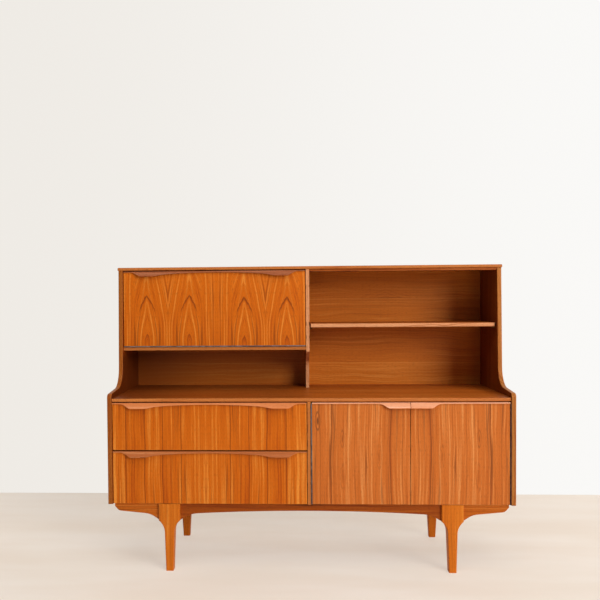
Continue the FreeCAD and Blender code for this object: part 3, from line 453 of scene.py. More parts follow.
class Board:
    """The values that a board's material is built from."""

    def __init__(self, node, along, across, seed):
        self.node = node
        self.seed = seed
        self.low, self.high = corners(node)
        self.material, self.graph, self.shader = new_material(f"{node}_timber")
        self.place = self.graph.place()
        parts = self.graph.split(self.place)
        self.x, self.y, self.z = parts
        self.along = parts[AXES[along]]
        self.across = parts[AXES[across]]
        self.through = parts[3 - AXES[along] - AXES[across]]

    def straight(self, drift):
        """Rings of straight grain with a slow drift, which run on along the edges."""
        across = self.graph.calc("ADD", self.across, self.through)
        return self.graph.effect("grain_waver", Across=across, Along=self.along, Drift=drift,
                                 Seed=self.seed)["Ring"]

    def finish(self, ring, palette, stripes=None, lines=1.0, stripe_share=0.75, lipped=None, shade=None,
               turned=None):
        """Completes the material and dresses the node. ring carries the fine grain and stripes the listed
        tones. lipped is the axis that the faces look along; the surfaces that look elsewhere are solid
        lipping. shade marks what is as dark as the growth lines, such as eyes and knots, and the painted
        shade of deep corners.
        turned is an axis, a sign, and the colour of the surfaces that look that way with its share."""
        graph = self.graph
        grain = graph.effect("timber_grain", Ring=ring, Along=self.along, Seed=self.seed)
        tone = grain["Tone"]
        line = graph.scaled(grain["Line"], lines)
        if stripes:
            blend = graph.calc("SUBTRACT", stripes, TONE_MIDDLE)
            tone = graph.calc("ADD", tone, graph.scaled(blend, stripe_share), clamp=True)
            line = graph.calc("MAXIMUM", line, graph.step(stripes, *STRIPE_LINE))
        if shade:
            line = graph.calc("MAXIMUM", line, shade)
        wear = graph.effect("edge_wear", Place=self.place, Low=self.low, High=self.high, Reach=WEAR_REACH)
        timber = graph.effect("timber_finish", Tone=tone, Line=line, Pore=grain["Pore"],
                              Fibre=grain["Fibre"], Wear=wear["Wear"], Dark=palette.dark,
                              Middle=palette.middle, Light=palette.light, Line_Colour=palette.line)
        colour = timber["Colour"]
        if lipped:
            squarely = graph.calc("ABSOLUTE", graph.facing()[AXES[lipped]])
            edge = graph.step(squarely, *LIPPING_TURN)
            solid = graph.effect("timber_finish", Tone=grain["Tone"], Line=wear["Chip"], Pore=grain["Pore"],
                                 Fibre=grain["Fibre"], Wear=0.0, Dark=palette.middle,
                                 Middle=palette.lipping, Light=palette.light, Line_Colour=palette.line)
            colour = graph.mix(edge, colour, solid["Colour"])
        if turned:
            axis, sign, tint, share = turned
            toward = graph.step(graph.scaled(graph.facing()[AXES[axis]], sign), *TURNED)
            colour = graph.mix(graph.scaled(toward, share), colour, tint)
        graph.feed(self.shader.inputs["Base Color"], colour)
        graph.feed(self.shader.inputs["Roughness"], timber["Roughness"])
        bump = graph.add("ShaderNodeBump")
        bump.inputs["Strength"].default_value = RELIEF_STRENGTH
        bump.inputs["Distance"].default_value = RELIEF_DEPTH
        graph.feed(bump.inputs["Height"], timber["Height"])
        graph.feed(self.shader.inputs["Normal"], bump.outputs["Normal"])
        self.shader.inputs["Specular IOR Level"].default_value = OILED_SPECULAR
        dress(self.node, self.material)


# Flap veneer: leaves are laid as mirrored pairs, with a crown in each leaf whose flanks fan out. A stripe is
# a ring's half width at the flap's foot, in mm, and its tone.
FLAP_LEAF_PAIR = 353
FLAP_PAIR_START = -682
FLAP_PAIR_STEP = 9
FLAP_CROWN = 77
FLAP_DRIFT = 14
FLAP_CROWN_STEEP = 5.2
FLAP_CROWN_POINT = 0.32
FLAP_FAN_STEEP = 7.5
FLAP_FAN_POINT = 0.8
FLAP_BLUNT = 1.0
FLAP_CROWN_STRIPES = ((0, .44), (5, .42), (8.4, .16), (9.4, .52), (18, .47), (20.4, .36), (21.4, .52),
                      (31, .46), (35.6, .12), (36.8, .54), (43, .50), (45.4, .36), (46.4, .54), (60, .50))
FLAP_FAN_STRIPES = ((0, .50), (36, .50), (44, .58), (48, .36), (52, .60), (58, .42), (62, .62), (66, .34),
                    (70, .60), (77, .42), (81, .64), (86, .32), (90, .62), (97, .44), (102, .62), (107, .36),
                    (112, .58), (120, .46), (128, .56))
FLAP_REACH = 140
# Where the crown gives way to its fan, and where the outer flank turns upright and how far, from its middle
FLAP_FLANK = (22.0, 42.0)
FLAP_OUTER = (10.0, 70.0)
FLAP_OUTER_UPRIGHT = 0.7
# Ragged edge of the crown's rings: its depth, width and length in mm
CROWN_TEETH = 2.5
CROWN_TEETH_WIDTH = 9
CROWN_TEETH_LENGTH = 16
# The share of fine growth lines on the fronts
FRONT_LINES = 0.6


def ragged(graph, ring, depth, across, along, seed):
    """A ring with a ragged edge of the given depth. across and along are places counted in teeth."""
    teeth = graph.noise(graph.join(across, along, seed), detail=1.0)
    return graph.total(ring, graph.scaled(graph.calc("SUBTRACT", teeth, NOISE_MIDDLE), depth))


def flap_veneer(node, seed):
    """Book-matched crowns across the flap."""
    board = Board(node, "z", "x", seed)
    graph = board.graph
    from_start = graph.calc("SUBTRACT", board.x, FLAP_PAIR_START)
    pair = graph.calc("FLOOR", graph.scaled(from_start, 1 / FLAP_LEAF_PAIR))
    within = graph.calc("FLOORED_MODULO", from_start, FLAP_LEAF_PAIR)
    from_joint = graph.calc("ABSOLUTE", graph.calc("SUBTRACT", within, FLAP_LEAF_PAIR / 2))
    from_crown = graph.calc("SUBTRACT", from_joint, FLAP_CROWN)
    offset = graph.effect("grain_waver", Across=from_crown, Along=board.z, Drift=FLAP_DRIFT,
                          Seed=seed)["Ring"]
    rise = graph.total(board.z, graph.scaled(pair, FLAP_PAIR_STEP), -board.low.z)
    crown = graph.effect("crown_figure", Offset=offset, Rise=rise, Steep=FLAP_CROWN_STEEP,
                         Point=FLAP_CROWN_POINT, Blunt=FLAP_BLUNT)["Ring"]
    upright = graph.scaled(graph.step(offset, *FLAP_OUTER), FLAP_OUTER_UPRIGHT)
    lean = graph.calc("MULTIPLY", rise, graph.calc("SUBTRACT", 1.0, upright))
    fan = graph.effect("crown_figure", Offset=offset, Rise=lean, Steep=FLAP_FAN_STEEP, Point=FLAP_FAN_POINT,
                       Blunt=FLAP_BLUNT)["Ring"]
    crown = ragged(graph, crown, CROWN_TEETH, graph.scaled(offset, 1 / CROWN_TEETH_WIDTH),
                   graph.scaled(board.z, 1 / CROWN_TEETH_LENGTH), seed)
    flank = graph.step(graph.calc("ABSOLUTE", offset), *FLAP_FLANK)
    stripes = graph.mix(flank, graph.stops(crown, FLAP_REACH, FLAP_CROWN_STRIPES),
                        graph.stops(fan, FLAP_REACH, FLAP_FAN_STRIPES))
    board.finish(fan, FRONT_TEAK, stripes, FRONT_LINES, lipped="y")


# Drawer veneer: a stripe's distance from the match line, in mm, and its tone
DRAWER_MATCH = -350
DRAWER_STRIPES = ((0, .70), (9, .60), (15, .30), (22, .58), (32, .38), (37, .60), (39.5, .50), (42.5, .24),
                  (45.5, .60), (60, .44), (70, .56), (79, .44), (82.5, .10), (86, .46), (112, .42),
                  (142.5, .40), (146, .11), (149.5, .56), (165, .66), (178, .44), (192, .64), (204.5, .44),
                  (208, .10), (211.5, .40), (238, .34), (268.5, .38), (272, .10), (276, .56), (293, .44),
                  (310, .66))
DRAWER_DRIFT = 16
# Door veneer: a stripe's distance from the seam between the doors, in mm, and its tone
DOOR_STRIPES = ((0, .50), (13, .42), (21.5, .44), (24.5, .15), (27.5, .56), (40, .42), (50, .58),
                (60.5, .44), (64, .09), (67.5, .50), (84, .46), (100, .62), (118, .46), (134, .50),
                (137, .18), (140, .56), (160, .64), (180, .50), (183, .18), (186, .54), (205, .62),
                (228, .42), (245, .54), (259.5, .44), (263, .09), (266.5, .44), (280, .52), (298, .48),
                (301, .16), (304, .50))
DOOR_DRIFT = 18
FRONT_REACH = 340
# Eyes: distance from the seam, height, half width and half height in mm, and how dark the heart is
DOOR_EYES = ((226, 322, 10, 48, .2), (227, 452, 7, 32, .5), (104, 392, 9, 44, .25))
# The rim of an eye: its least darkness and its gain with the heart's, the width and length of its breaks in
# mm, and the levels of noise between which it shows
EYE_RIM = 0.15
EYE_RIM_GAIN = 0.7
BREAK_WIDTH = 9
BREAK_LENGTH = 24
BREAK_LEVELS = (0.40, 0.62)
# The knot in the left door: its place and size in mm
KNOT_SIDE = 28
KNOT_HEIGHT = 512
KNOT_HALF_WIDTH = 9
KNOT_HALF_HEIGHT = 34
KNOT_DARKNESS = 0.85


def matched_veneer(node, seed, middle, marks, palette, drift, eyes=(), knot=False):
    """Straight stripes mirrored about a match line, with the eyes and the knot that part them."""
    board = Board(node, "z", "x", seed)
    graph = board.graph
    from_match = graph.calc("ABSOLUTE", graph.calc("SUBTRACT", board.x, middle))
    ring = graph.effect("grain_waver", Across=from_match, Along=board.z, Drift=drift, Seed=seed)["Ring"]
    places = [(graph.calc("SUBTRACT", from_match, offset), *rest) for offset, *rest in eyes]
    if knot:
        places.append((graph.calc("SUBTRACT", board.x, KNOT_SIDE), KNOT_HEIGHT, KNOT_HALF_WIDTH,
                       KNOT_HALF_HEIGHT, KNOT_DARKNESS))
    shade = None
    for offset, level, half_width, half_height, darkness in places:
        eye = graph.effect("grain_eye", Offset=offset, Rise=graph.calc("SUBTRACT", board.z, level),
                           Half_Width=half_width, Half_Height=half_height)
        ring = graph.calc("ADD", ring, eye["Push"])
        breaks = graph.noise(graph.join(graph.scaled(board.x, 1 / BREAK_WIDTH),
                                        graph.scaled(board.z, 1 / BREAK_LENGTH), seed))
        kept = graph.calc("MAXIMUM", graph.step(breaks, *BREAK_LEVELS), darkness)
        rim = graph.calc("MULTIPLY", eye["Rim"], kept)
        rim = graph.scaled(rim, EYE_RIM + EYE_RIM_GAIN * darkness)
        mark = graph.calc("MAXIMUM", graph.scaled(eye["Heart"], darkness), rim)
        shade = graph.calc("MAXIMUM", shade, mark) if shade else mark
    stripes = graph.stops(ring, FRONT_REACH, marks)
    board.finish(ring, palette, stripes, FRONT_LINES, lipped="y", shade=shade)


# Straight grain: its drift in mm and its share of growth lines, on boards, on wide panels and on solid pieces
BOARD_DRIFT = 26
BOARD_LINES = 0.7
PANEL_DRIFT = 60
PULL_DRIFT = 10
PULL_LINES = 0.3
LEG_DRIFT = 14
LEG_LINES = 0.3
RAIL_DRIFT = 20
RAIL_LINES = 0.8
# How far a surface that looks another way takes its own colour: painted shade under the pulls, plain teak on
# the sides' outer faces and bare ply on the backs' rear
PULL_UNDERSIDE_SHADE = 0.75
OUTER_SIDE_SHARE = 0.5
BARE_REAR = 0.75


def plain_board(node, along, across, seed, palette, drift=BOARD_DRIFT, lines=BOARD_LINES, lipped=None,
                turned=None):
    """A board or a solid piece with straight grain."""
    board = Board(node, along, across, seed)
    board.finish(board.straight(drift), palette, lines=lines, lipped=lipped, turned=turned)


def carved_pull(node, seed, palette):
    """A pull strip with painted shade on its underside."""
    plain_board(node, "x", "z", seed, palette, PULL_DRIFT, PULL_LINES, lipped="z",
                turned=("z", -1, palette.line, PULL_UNDERSIDE_SHADE))


# Back veneer: the levels of the joints between the lying leaves, and how much lighter a joint and the upper
# and lower leaves are than the middle leaf
UPPER_SEAM = 923
LOWER_SEAM = 673
SEAM_HALF = 2.6
SEAM_CORE = 0.4
SEAM_TONE = 0.9
LEAF_EDGE = 1.0
UPPER_LEAF_TONE = 0.04
LOWER_LEAF_TONE = 0.14
BACK_DRIFT = 40
BACK_LINES = 0.25
BACK_STRIPES = 0.8
# The crown above the upper joint: its middle, its slopes, its rings' half widths and tones, and their ragged
# edges, in mm
BACK_CROWN = 305
BACK_CROWN_STEEP = 0.38
BACK_CROWN_POINT = 0.8
BACK_CROWN_BLUNT = 2.0
BACK_CROWN_STRIPES = ((0, .26), (16, .36), (27, .20), (38, .50), (50, .40), (60, .22), (72, .54), (84, .44),
                      (94, .28), (108, .54), (122, .42), (132, .50))
BACK_CROWN_REACH = 140
BACK_TEETH = 20
BACK_TEETH_LENGTH = 40
BACK_TEETH_WIDTH = 8
# Painted shade in the niche, most at its left end, and in the bay's right corner: where it ends, in mm, and
# how dark it is
NICHE_LEFT = corners("left_side")[1].x
NICHE_RIGHT = corners("upper_divider")[0].x
NICHE_FOOT = corners("worktop")[0].z
NICHE_HEAD = corners("flap_box_floor")[0].z
NICHE_BLUR = 30
WORKTOP_BLUR = 110
NICHE_SHADE = 0.5
WORKTOP_SHADE = 0.36
NICHE_END = 330
NICHE_END_SHADE = 0.42
BAY_RIGHT = corners("right_side")[0].x
BAY_BLUR = 70
BAY_SHADE = 0.5
# How far into a side the painted shade on its inner face reaches, in mm: where it ends and where it is full
INNER_SKIN_END = 4
INNER_SKIN = 1


def painted_corner_shade(board, niche_share, blur):
    """How much painted shade darkens a board in the niche and in the bay's right corner. The outer faces of
    the sides and the rear of the back have none of it."""
    graph = board.graph
    inside = graph.calc("MULTIPLY", graph.step(board.x, NICHE_LEFT - INNER_SKIN_END, NICHE_LEFT - INNER_SKIN),
                        graph.step(board.x, BAY_RIGHT + INNER_SKIN_END, BAY_RIGHT + INNER_SKIN))
    shown = graph.calc("MULTIPLY", graph.step(board.z, NICHE_FOOT - INNER_SKIN, NICHE_FOOT),
                       graph.step(graph.facing()[AXES["y"]], *NOT_TURNED))
    left_half = graph.step(board.x, NICHE_RIGHT + blur - NICHE_BLUR, NICHE_RIGHT - blur)
    niche = graph.calc("MULTIPLY", left_half, graph.step(board.z, NICHE_HEAD, NICHE_HEAD - NICHE_BLUR))
    end = graph.step(board.x, NICHE_LEFT + NICHE_END, NICHE_LEFT)
    niche = graph.calc("MULTIPLY", niche, graph.calc("MULTIPLY_ADD", end, NICHE_END_SHADE, niche_share))
    corner = graph.scaled(graph.step(board.x, BAY_RIGHT - BAY_BLUR, BAY_RIGHT), BAY_SHADE)
    deep = graph.calc("MAXIMUM", niche, corner)
    return graph.calc("MULTIPLY", deep, graph.calc("MULTIPLY", inside, shown))


def back_veneer(node, seed):
    """A back panel of lying leaves with pale joints between them and a crown above the upper joint, and with
    painted shade in the niche and in the bay's right corner.
    """
    board = Board(node, "x", "z", seed)
    graph = board.graph
    crown = graph.effect("crown_figure", Offset=graph.calc("SUBTRACT", board.x, BACK_CROWN),
                         Rise=graph.calc("SUBTRACT", board.z, UPPER_SEAM), Steep=BACK_CROWN_STEEP,
                         Point=BACK_CROWN_POINT, Blunt=BACK_CROWN_BLUNT)["Ring"]
    crown = ragged(graph, crown, BACK_TEETH, graph.scaled(board.x, 1 / BACK_TEETH_LENGTH),
                   graph.scaled(board.z, 1 / BACK_TEETH_WIDTH), seed)
    figure = graph.calc("SUBTRACT", graph.stops(crown, BACK_CROWN_REACH, BACK_CROWN_STRIPES), TONE_MIDDLE)
    above = graph.step(board.z, UPPER_SEAM, UPPER_SEAM + SEAM_HALF)
    tone = graph.calc("MULTIPLY_ADD", figure, above, TONE_MIDDLE)
    for level in (UPPER_SEAM, LOWER_SEAM):
        away = graph.calc("ABSOLUTE", graph.calc("SUBTRACT", board.z, level))
        joint = graph.step(away, SEAM_HALF, SEAM_CORE)
        tone = graph.total(tone, graph.scaled(joint, SEAM_TONE))
    upper_leaf = graph.step(board.z, UPPER_SEAM - LEAF_EDGE, UPPER_SEAM + LEAF_EDGE)
    lower_leaf = graph.step(board.z, LOWER_SEAM + LEAF_EDGE, LOWER_SEAM - LEAF_EDGE)
    tone = graph.total(tone, graph.scaled(upper_leaf, UPPER_LEAF_TONE),
                       graph.scaled(lower_leaf, LOWER_LEAF_TONE))
    board.finish(board.straight(BACK_DRIFT), BACK_TEAK, tone, BACK_LINES, stripe_share=BACK_STRIPES,
                 shade=painted_corner_shade(board, NICHE_SHADE, NICHE_BLUR), turned=("y", 1, BARE_PLY, BARE_REAR))


def side_board(node, seed, palette, outward):
    """A side of the case: a darkened palette as painted shade, its outer faces mixed back toward plain teak,
    and more painted shade inside the niche.
    """
    board = Board(node, "z", "y", seed)
    board.finish(board.straight(BOARD_DRIFT), palette, lines=BOARD_LINES, lipped="x",
                 shade=painted_corner_shade(board, WORKTOP_SHADE, NICHE_BLUR),
                 turned=("x", outward, OUTER_SIDE_TEAK, OUTER_SIDE_SHARE))


def worktop_board(node, seed):
    """The worktop, with painted shade under the niche and in the bay's right corner."""
    board = Board(node, "x", "y", seed)
    board.finish(board.straight(PANEL_DRIFT), WORKTOP_TEAK, lines=BOARD_LINES, lipped="z",
                 shade=painted_corner_shade(board, WORKTOP_SHADE, WORKTOP_BLUR))


# Each board's number is its seed, which gives it its own grain. The two drawers are cut from the same leaves,
# and so are the two doors.


def dress_fronts():
    """Flap, drawers and doors with their pulls."""
    flap_veneer("flap_panel", 3.0)
    for node in ("upper_drawer_front", "lower_drawer_front"):
        matched_veneer(node, 11.0, DRAWER_MATCH, DRAWER_STRIPES, FRONT_TEAK, DRAWER_DRIFT)
    seam = (corners("left_door_panel")[1].x + corners("right_door_panel")[0].x) / 2
    matched_veneer("left_door_panel", 17.0, seam, DOOR_STRIPES, DOOR_TEAK, DOOR_DRIFT, DOOR_EYES, knot=True)
    matched_veneer("right_door_panel", 17.0, seam, DOOR_STRIPES, DOOR_TEAK, DOOR_DRIFT, DOOR_EYES)
    carved_pull("flap_pull", 30.0, SHADED_FLAP_PULL_TEAK)
    carved_pull("upper_drawer_pull", 31.0, PULL_TEAK)
    carved_pull("lower_drawer_pull", 32.0, SHADED_LOW_PULL_TEAK)
    carved_pull("left_door_pull", 34.0, HIGHLIT_DOOR_PULL_TEAK)
    carved_pull("right_door_pull", 35.0, HIGHLIT_DOOR_PULL_TEAK)


def dress_case():
    """Sides, dividers, panels, shelves and backs."""
    side_board("left_side", 40.0, SHADED_SIDE_TEAK, -1)
    side_board("right_side", 41.0, RIGHT_SIDE_SHADE_AND_HIGHLIGHT_TEAK, 1)
    plain_board("upper_divider", "z", "y", 42.0, EDGE_HIGHLIGHT_TEAK, lipped="x")
    plain_board("lower_divider", "z", "y", 43.0, CASE_TEAK, lipped="x")
    worktop_board("worktop", 51.0)
    for number, node in enumerate(("top_panel", "flap_box_floor", "bottom_panel", "cupboard_shelf")):
        plain_board(node, "x", "y", 52.0 + number, CASE_TEAK, PANEL_DRIFT, lipped="z")
    plain_board("display_shelf", "x", "y", 56.0, EDGE_HIGHLIGHT_TEAK, PANEL_DRIFT, lipped="z")
    plain_board("top_front_rail", "x", "z", 58.0, CASE_TEAK)
    back_veneer("upper_back_panel", 60.0)
    back_veneer("lower_back_panel", 61.0)


def dress_base():
    """Legs and rails."""
    for number, node in enumerate(("front_left_leg", "front_right_leg", "rear_left_leg", "rear_right_leg")):
        plain_board(node, "z", "x", 70.0 + number, LEG_TEAK, LEG_DRIFT, LEG_LINES)
    plain_board("front_rail", "x", "z", 80.0, RAIL_TEAK_AND_SHADE, RAIL_DRIFT, RAIL_LINES)
    plain_board("left_wing_rail", "x", "z", 81.0, WING_TEAK, RAIL_DRIFT, RAIL_LINES)
    plain_board("right_wing_rail", "x", "z", 82.0, WING_TEAK, RAIL_DRIFT, RAIL_LINES)
    plain_board("rear_rail", "x", "z", 84.0, FRAME_BEECH)
    plain_board("left_cross_rail", "y", "z", 85.0, FRAME_BEECH)
    plain_board("right_cross_rail", "y", "z", 86.0, FRAME_BEECH)


def dress_drawers():
    """Runners and drawer boxes."""
    plain_board("drawer_runners", "y", "z", 88.0, FRAME_BEECH)
    for number, drawer in enumerate(("upper_drawer", "lower_drawer")):
        plain_board(f"{drawer}_left_side", "y", "z", 90.0 + number, DRAWER_BEECH)
        plain_board(f"{drawer}_right_side", "y", "z", 92.0 + number, DRAWER_BEECH)
        plain_board(f"{drawer}_back", "x", "z", 94.0 + number, DRAWER_BEECH)
        plain_board(f"{drawer}_bottom", "x", "y", 96.0 + number, DRAWER_BEECH)


# Metal and plastic: their roughness, what dull patches, drawn lines and spark add to it, and the spark's size
METAL_ROUGHNESS = 0.22
DULL_ROUGHNESS = 0.16
DRAWN_ROUGHNESS = 0.2
PLASTIC_ROUGHNESS = 0.4
SPARK_ROUGHNESS = 0.25
SPARK_SCALE = (1.6, 1.6, 1.6)
SPARK_STRENGTH = 0.2
SPARK_DEPTH = 0.0002
PLASTIC_BROWN = paint(62, 40, 26)
PLASTIC_PALE = paint(84, 56, 38)


def worn_metal(name, bright, dull):
    """Plated metal with fine drawn lines and dull patches."""
    material, graph, shader = new_material(name)
    metal = graph.effect("rubbed_metal", Place=graph.place())
    graph.feed(shader.inputs["Base Color"], graph.mix(metal["Dull"], bright, dull))
    graph.feed(shader.inputs["Roughness"], graph.total(
        graph.scaled(metal["Dull"], DULL_ROUGHNESS), graph.scaled(metal["Drawn"], DRAWN_ROUGHNESS),
        METAL_ROUGHNESS))
    shader.inputs["Metallic"].default_value = 1.0
    return material


def catch_plastic():
    """Moulded brown plastic with a fine spark texture."""
    material, graph, shader = new_material("catch_plastic")
    spark = graph.noise(graph.vector("MULTIPLY", graph.place(), SPARK_SCALE), detail=3.0)
    graph.feed(shader.inputs["Base Color"], graph.mix(spark, PLASTIC_BROWN, PLASTIC_PALE))
    roughness = graph.total(graph.scaled(spark, SPARK_ROUGHNESS), PLASTIC_ROUGHNESS)
    graph.feed(shader.inputs["Roughness"], roughness)
    bump = graph.add("ShaderNodeBump")
    bump.inputs["Strength"].default_value = SPARK_STRENGTH
    bump.inputs["Distance"].default_value = SPARK_DEPTH
    graph.feed(bump.inputs["Height"], spark)
    graph.feed(shader.inputs["Normal"], bump.outputs["Normal"])
    return material


STEEL_NODES = [f"{name}_{piece}" for name in ("left_door", "flap")
               for piece in ("frame_leaf", "leaf", "hinge_pin", "strike")]
STEEL_NODES += ["stay_rod", "stay_guide", "stay_plate", "stay_bracket", "right_door_strike"]
# The right door's hinge pieces take a darker, browner steel as painted shade and reflection.
SHADED_STEEL_NODES = ["right_door_frame_leaf", "right_door_leaf", "right_door_hinge_pin"]


def new_piece(name, mesh, body):
    """A finished mesh as an object that rides a body."""
    piece = bpy.data.objects.new(name, mesh)
    bpy.context.scene.collection.objects.link(piece)
    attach(piece, body)
    return piece


# Screws: places and facings come from the frame's boxes, in metres
LEAF_THICKNESS = 0.0009
LEAF_SCREW_INSET = 0.0064
LEAF_END = 0.02
DOOR_SCREW_PITCH = 0.06
FLAP_SCREW_PITCH = 0.075
STAY_PLATE_THICKNESS = 0.002
SCREW_CORNER = 0.0045
BACK_SCREW_INSET = 0.009
BACK_SCREW_PITCH = 0.13
# Screw heads: radius, rise above the surface and corners. The top, the slot's width and the length of the bar
# that cuts it are shares of the radius, and the bar's height is a share of the rise.
FIXING_RADIUS = 0.0023
CASE_RISE = 0.0002
MOVING_RISE = 0.0001
BACK_RADIUS = 0.0034
BACK_RISE = 0.0005
HEAD_CORNERS = 16
HEAD_TOP = 0.72
SLOT_SHARE = 0.32
SLOT_BAR_LENGTH = 3.0
SLOT_BAR_HEIGHT = 1.4


def spread(start, end, pitch):
    """Even places between two ends, about one pitch apart."""
    count = max(1, round((end - start) / pitch))
    return [start + (end - start) * n / count for n in range(count + 1)]


def back_screws():
    """A row of screws round each back panel."""
    places = []
    for node in ("upper_back_panel", "lower_back_panel"):
        low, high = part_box(node)
        left, right = low.x + BACK_SCREW_INSET / 2, high.x - BACK_SCREW_INSET / 2
        foot, head = low.z + BACK_SCREW_INSET, high.z - BACK_SCREW_INSET
        for x in spread(left + BACK_SCREW_INSET, right - BACK_SCREW_INSET, BACK_SCREW_PITCH):
            places += [(x, high.y, foot), (x, high.y, head)]
        for z in spread(foot, head, BACK_SCREW_PITCH)[1:-1]:
            places += [(left, high.y, z), (right, high.y, z)]
    return [(place, (0, 1, 0)) for place in places]


def leaf_screws(node, axis, outward, pitch):
    """Screws in a hinge leaf, on the face that looks at the other leaf."""
    low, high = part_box(node)
    row = high.y - LEAF_SCREW_INSET
    facing = [0.0, 0.0, 0.0]
    facing[AXES[axis]] = outward
    if outward > 0:
        face = low[AXES[axis]] + LEAF_THICKNESS
    else:
        face = high[AXES[axis]] - LEAF_THICKNESS
    if axis == "x":
        places = [(face, row, z) for z in spread(low.z + LEAF_END, high.z - LEAF_END, pitch)]
    else:
        places = [(x, row, face) for x in spread(low.x + LEAF_END, high.x - LEAF_END, pitch)]
    return [(place, tuple(facing)) for place in places]


def plate_screws():
    """Screws at the corners of the stay's plate on the side."""
    low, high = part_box("stay_plate")
    face = low.x + STAY_PLATE_THICKNESS
    return [((face, y, z), (1, 0, 0))
            for y in (low.y + SCREW_CORNER, high.y - SCREW_CORNER)
            for z in (low.z + SCREW_CORNER, high.z - SCREW_CORNER)]


def bracket_screws():
    """Screws above and below the ear of the stay's bracket on the flap."""
    low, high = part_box("stay_bracket")
    face = low.y + STAY_PLATE_THICKNESS
    middle = (low.x + high.x) / 2
    return [((middle, face, z), (0, 1, 0)) for z in (low.z + SCREW_CORNER, high.z - SCREW_CORNER)]


def strike_screw(node):
    """The one screw in the middle of a strike plate."""
    low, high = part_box(node)
    return [(((low.x + high.x) / 2, high.y, (low.z + high.z) / 2), (0, 1, 0))]


def screw_tree():
    """Slotted screw heads on points. Each point carries the direction that its head faces."""
    tree = bpy.data.node_groups.new("slotted_screws", "GeometryNodeTree")
    for label, kind, in_out in (("Geometry", "NodeSocketGeometry", "INPUT"),
                                ("Head Radius", "NodeSocketFloat", "INPUT"),
                                ("Head Rise", "NodeSocketFloat", "INPUT"),
                                ("Slot Width", "NodeSocketFloat", "INPUT"),
                                ("Seed", "NodeSocketInt", "INPUT"),
                                ("Finish", "NodeSocketMaterial", "INPUT"),
                                ("Geometry", "NodeSocketGeometry", "OUTPUT")):
        tree.interface.new_socket(label, in_out=in_out, socket_type=kind)
    graph = Graph(tree)
    given = graph.add("NodeGroupInput").outputs
    result = graph.add("NodeGroupOutput").inputs

    head = graph.add("GeometryNodeMeshCone")
    head.inputs["Vertices"].default_value = HEAD_CORNERS
    graph.feed(head.inputs["Radius Bottom"], given["Head Radius"])
    graph.feed(head.inputs["Radius Top"], graph.scaled(given["Head Radius"], HEAD_TOP))
    graph.feed(head.inputs["Depth"], graph.scaled(given["Head Rise"], 2.0))
    sunk = graph.add("GeometryNodeTransform")
    graph.feed(sunk.inputs["Geometry"], head.outputs["Mesh"])
    graph.feed(sunk.inputs["Translation"], graph.join(0.0, 0.0, graph.scaled(given["Head Rise"], -1.0)))

    bar = graph.add("GeometryNodeMeshCube")
    length = graph.scaled(given["Head Radius"], SLOT_BAR_LENGTH)
    height = graph.scaled(given["Head Rise"], SLOT_BAR_HEIGHT)
    graph.feed(bar.inputs["Size"], graph.join(length, given["Slot Width"], height))
    raised = graph.add("GeometryNodeTransform")
    graph.feed(raised.inputs["Geometry"], bar.outputs["Mesh"])
    graph.feed(raised.inputs["Translation"], graph.join(0.0, 0.0, given["Head Rise"]))
    slotted = graph.add("GeometryNodeMeshBoolean", operation="DIFFERENCE")
    graph.feed(slotted.inputs["Mesh 1"], sunk.outputs["Geometry"])
    graph.feed(slotted.inputs["Mesh 2"], raised.outputs["Geometry"])

    facing = graph.add("GeometryNodeInputNamedAttribute", data_type="FLOAT_VECTOR")
    facing.inputs["Name"].default_value = "facing"
    aligned = graph.add("FunctionNodeAlignRotationToVector", axis="Z")
    graph.feed(aligned.inputs["Vector"], facing.outputs["Attribute"])
    turn = graph.add("FunctionNodeRandomValue", data_type="FLOAT")
    turn.inputs[3].default_value = math.pi
    graph.feed(turn.inputs["Seed"], given["Seed"])
    spun = graph.add("FunctionNodeAxisAngleToRotation")
    spun.inputs["Axis"].default_value = (0.0, 0.0, 1.0)
    graph.feed(spun.inputs["Angle"], turn.outputs[1])
    posed = graph.add("FunctionNodeRotateRotation", rotation_space="LOCAL")
    graph.feed(posed.inputs["Rotation"], aligned.outputs["Rotation"])
    graph.feed(posed.inputs["Rotate By"], spun.outputs["Rotation"])

    points = graph.add("GeometryNodeInstanceOnPoints")
    graph.feed(points.inputs["Points"], given["Geometry"])
    graph.feed(points.inputs["Instance"], slotted.outputs["Mesh"])
    graph.feed(points.inputs["Rotation"], posed.outputs["Rotation"])
    real = graph.add("GeometryNodeRealizeInstances")
    graph.feed(real.inputs["Geometry"], points.outputs["Instances"])
    finished = graph.add("GeometryNodeSetMaterial")
    graph.feed(finished.inputs["Geometry"], real.outputs["Geometry"])
    graph.feed(finished.inputs["Material"], given["Finish"])
    graph.feed(result["Geometry"], finished.outputs["Geometry"])
    return tree


def drive_screws(tree, name, body, places, radius, rise, steel, seed):
    """Turns a list of places and facings into one mesh of screw heads on a body."""
    cloud = bpy.data.meshes.new(f"{name}_places")
    cloud.from_pydata([place for place, _ in places], [], [])
    facing = cloud.attributes.new("facing", "FLOAT_VECTOR", "POINT")
    for item, (_, direction) in zip(facing.data, places):
        item.vector = direction
    source = bpy.data.objects.new(f"{name}_places", cloud)
    bpy.context.scene.collection.objects.link(source)
    modifier = source.modifiers.new("screws", "NODES")
    modifier.node_group = tree
    values = {"Head Radius": radius, "Head Rise": rise, "Slot Width": radius * SLOT_SHARE, "Seed": seed,
              "Finish": steel}
    for item in tree.interface.items_tree:
        if item.in_out == "INPUT" and item.name in values:
            modifier[item.identifier] = values[item.name]
    evaluated = source.evaluated_get(bpy.context.evaluated_depsgraph_get())
    mesh = bpy.data.meshes.new_from_object(evaluated)
    mesh.name = name
    source.modifiers.remove(modifier)
    bpy.data.objects.remove(source)
    new_piece(name, mesh, body)


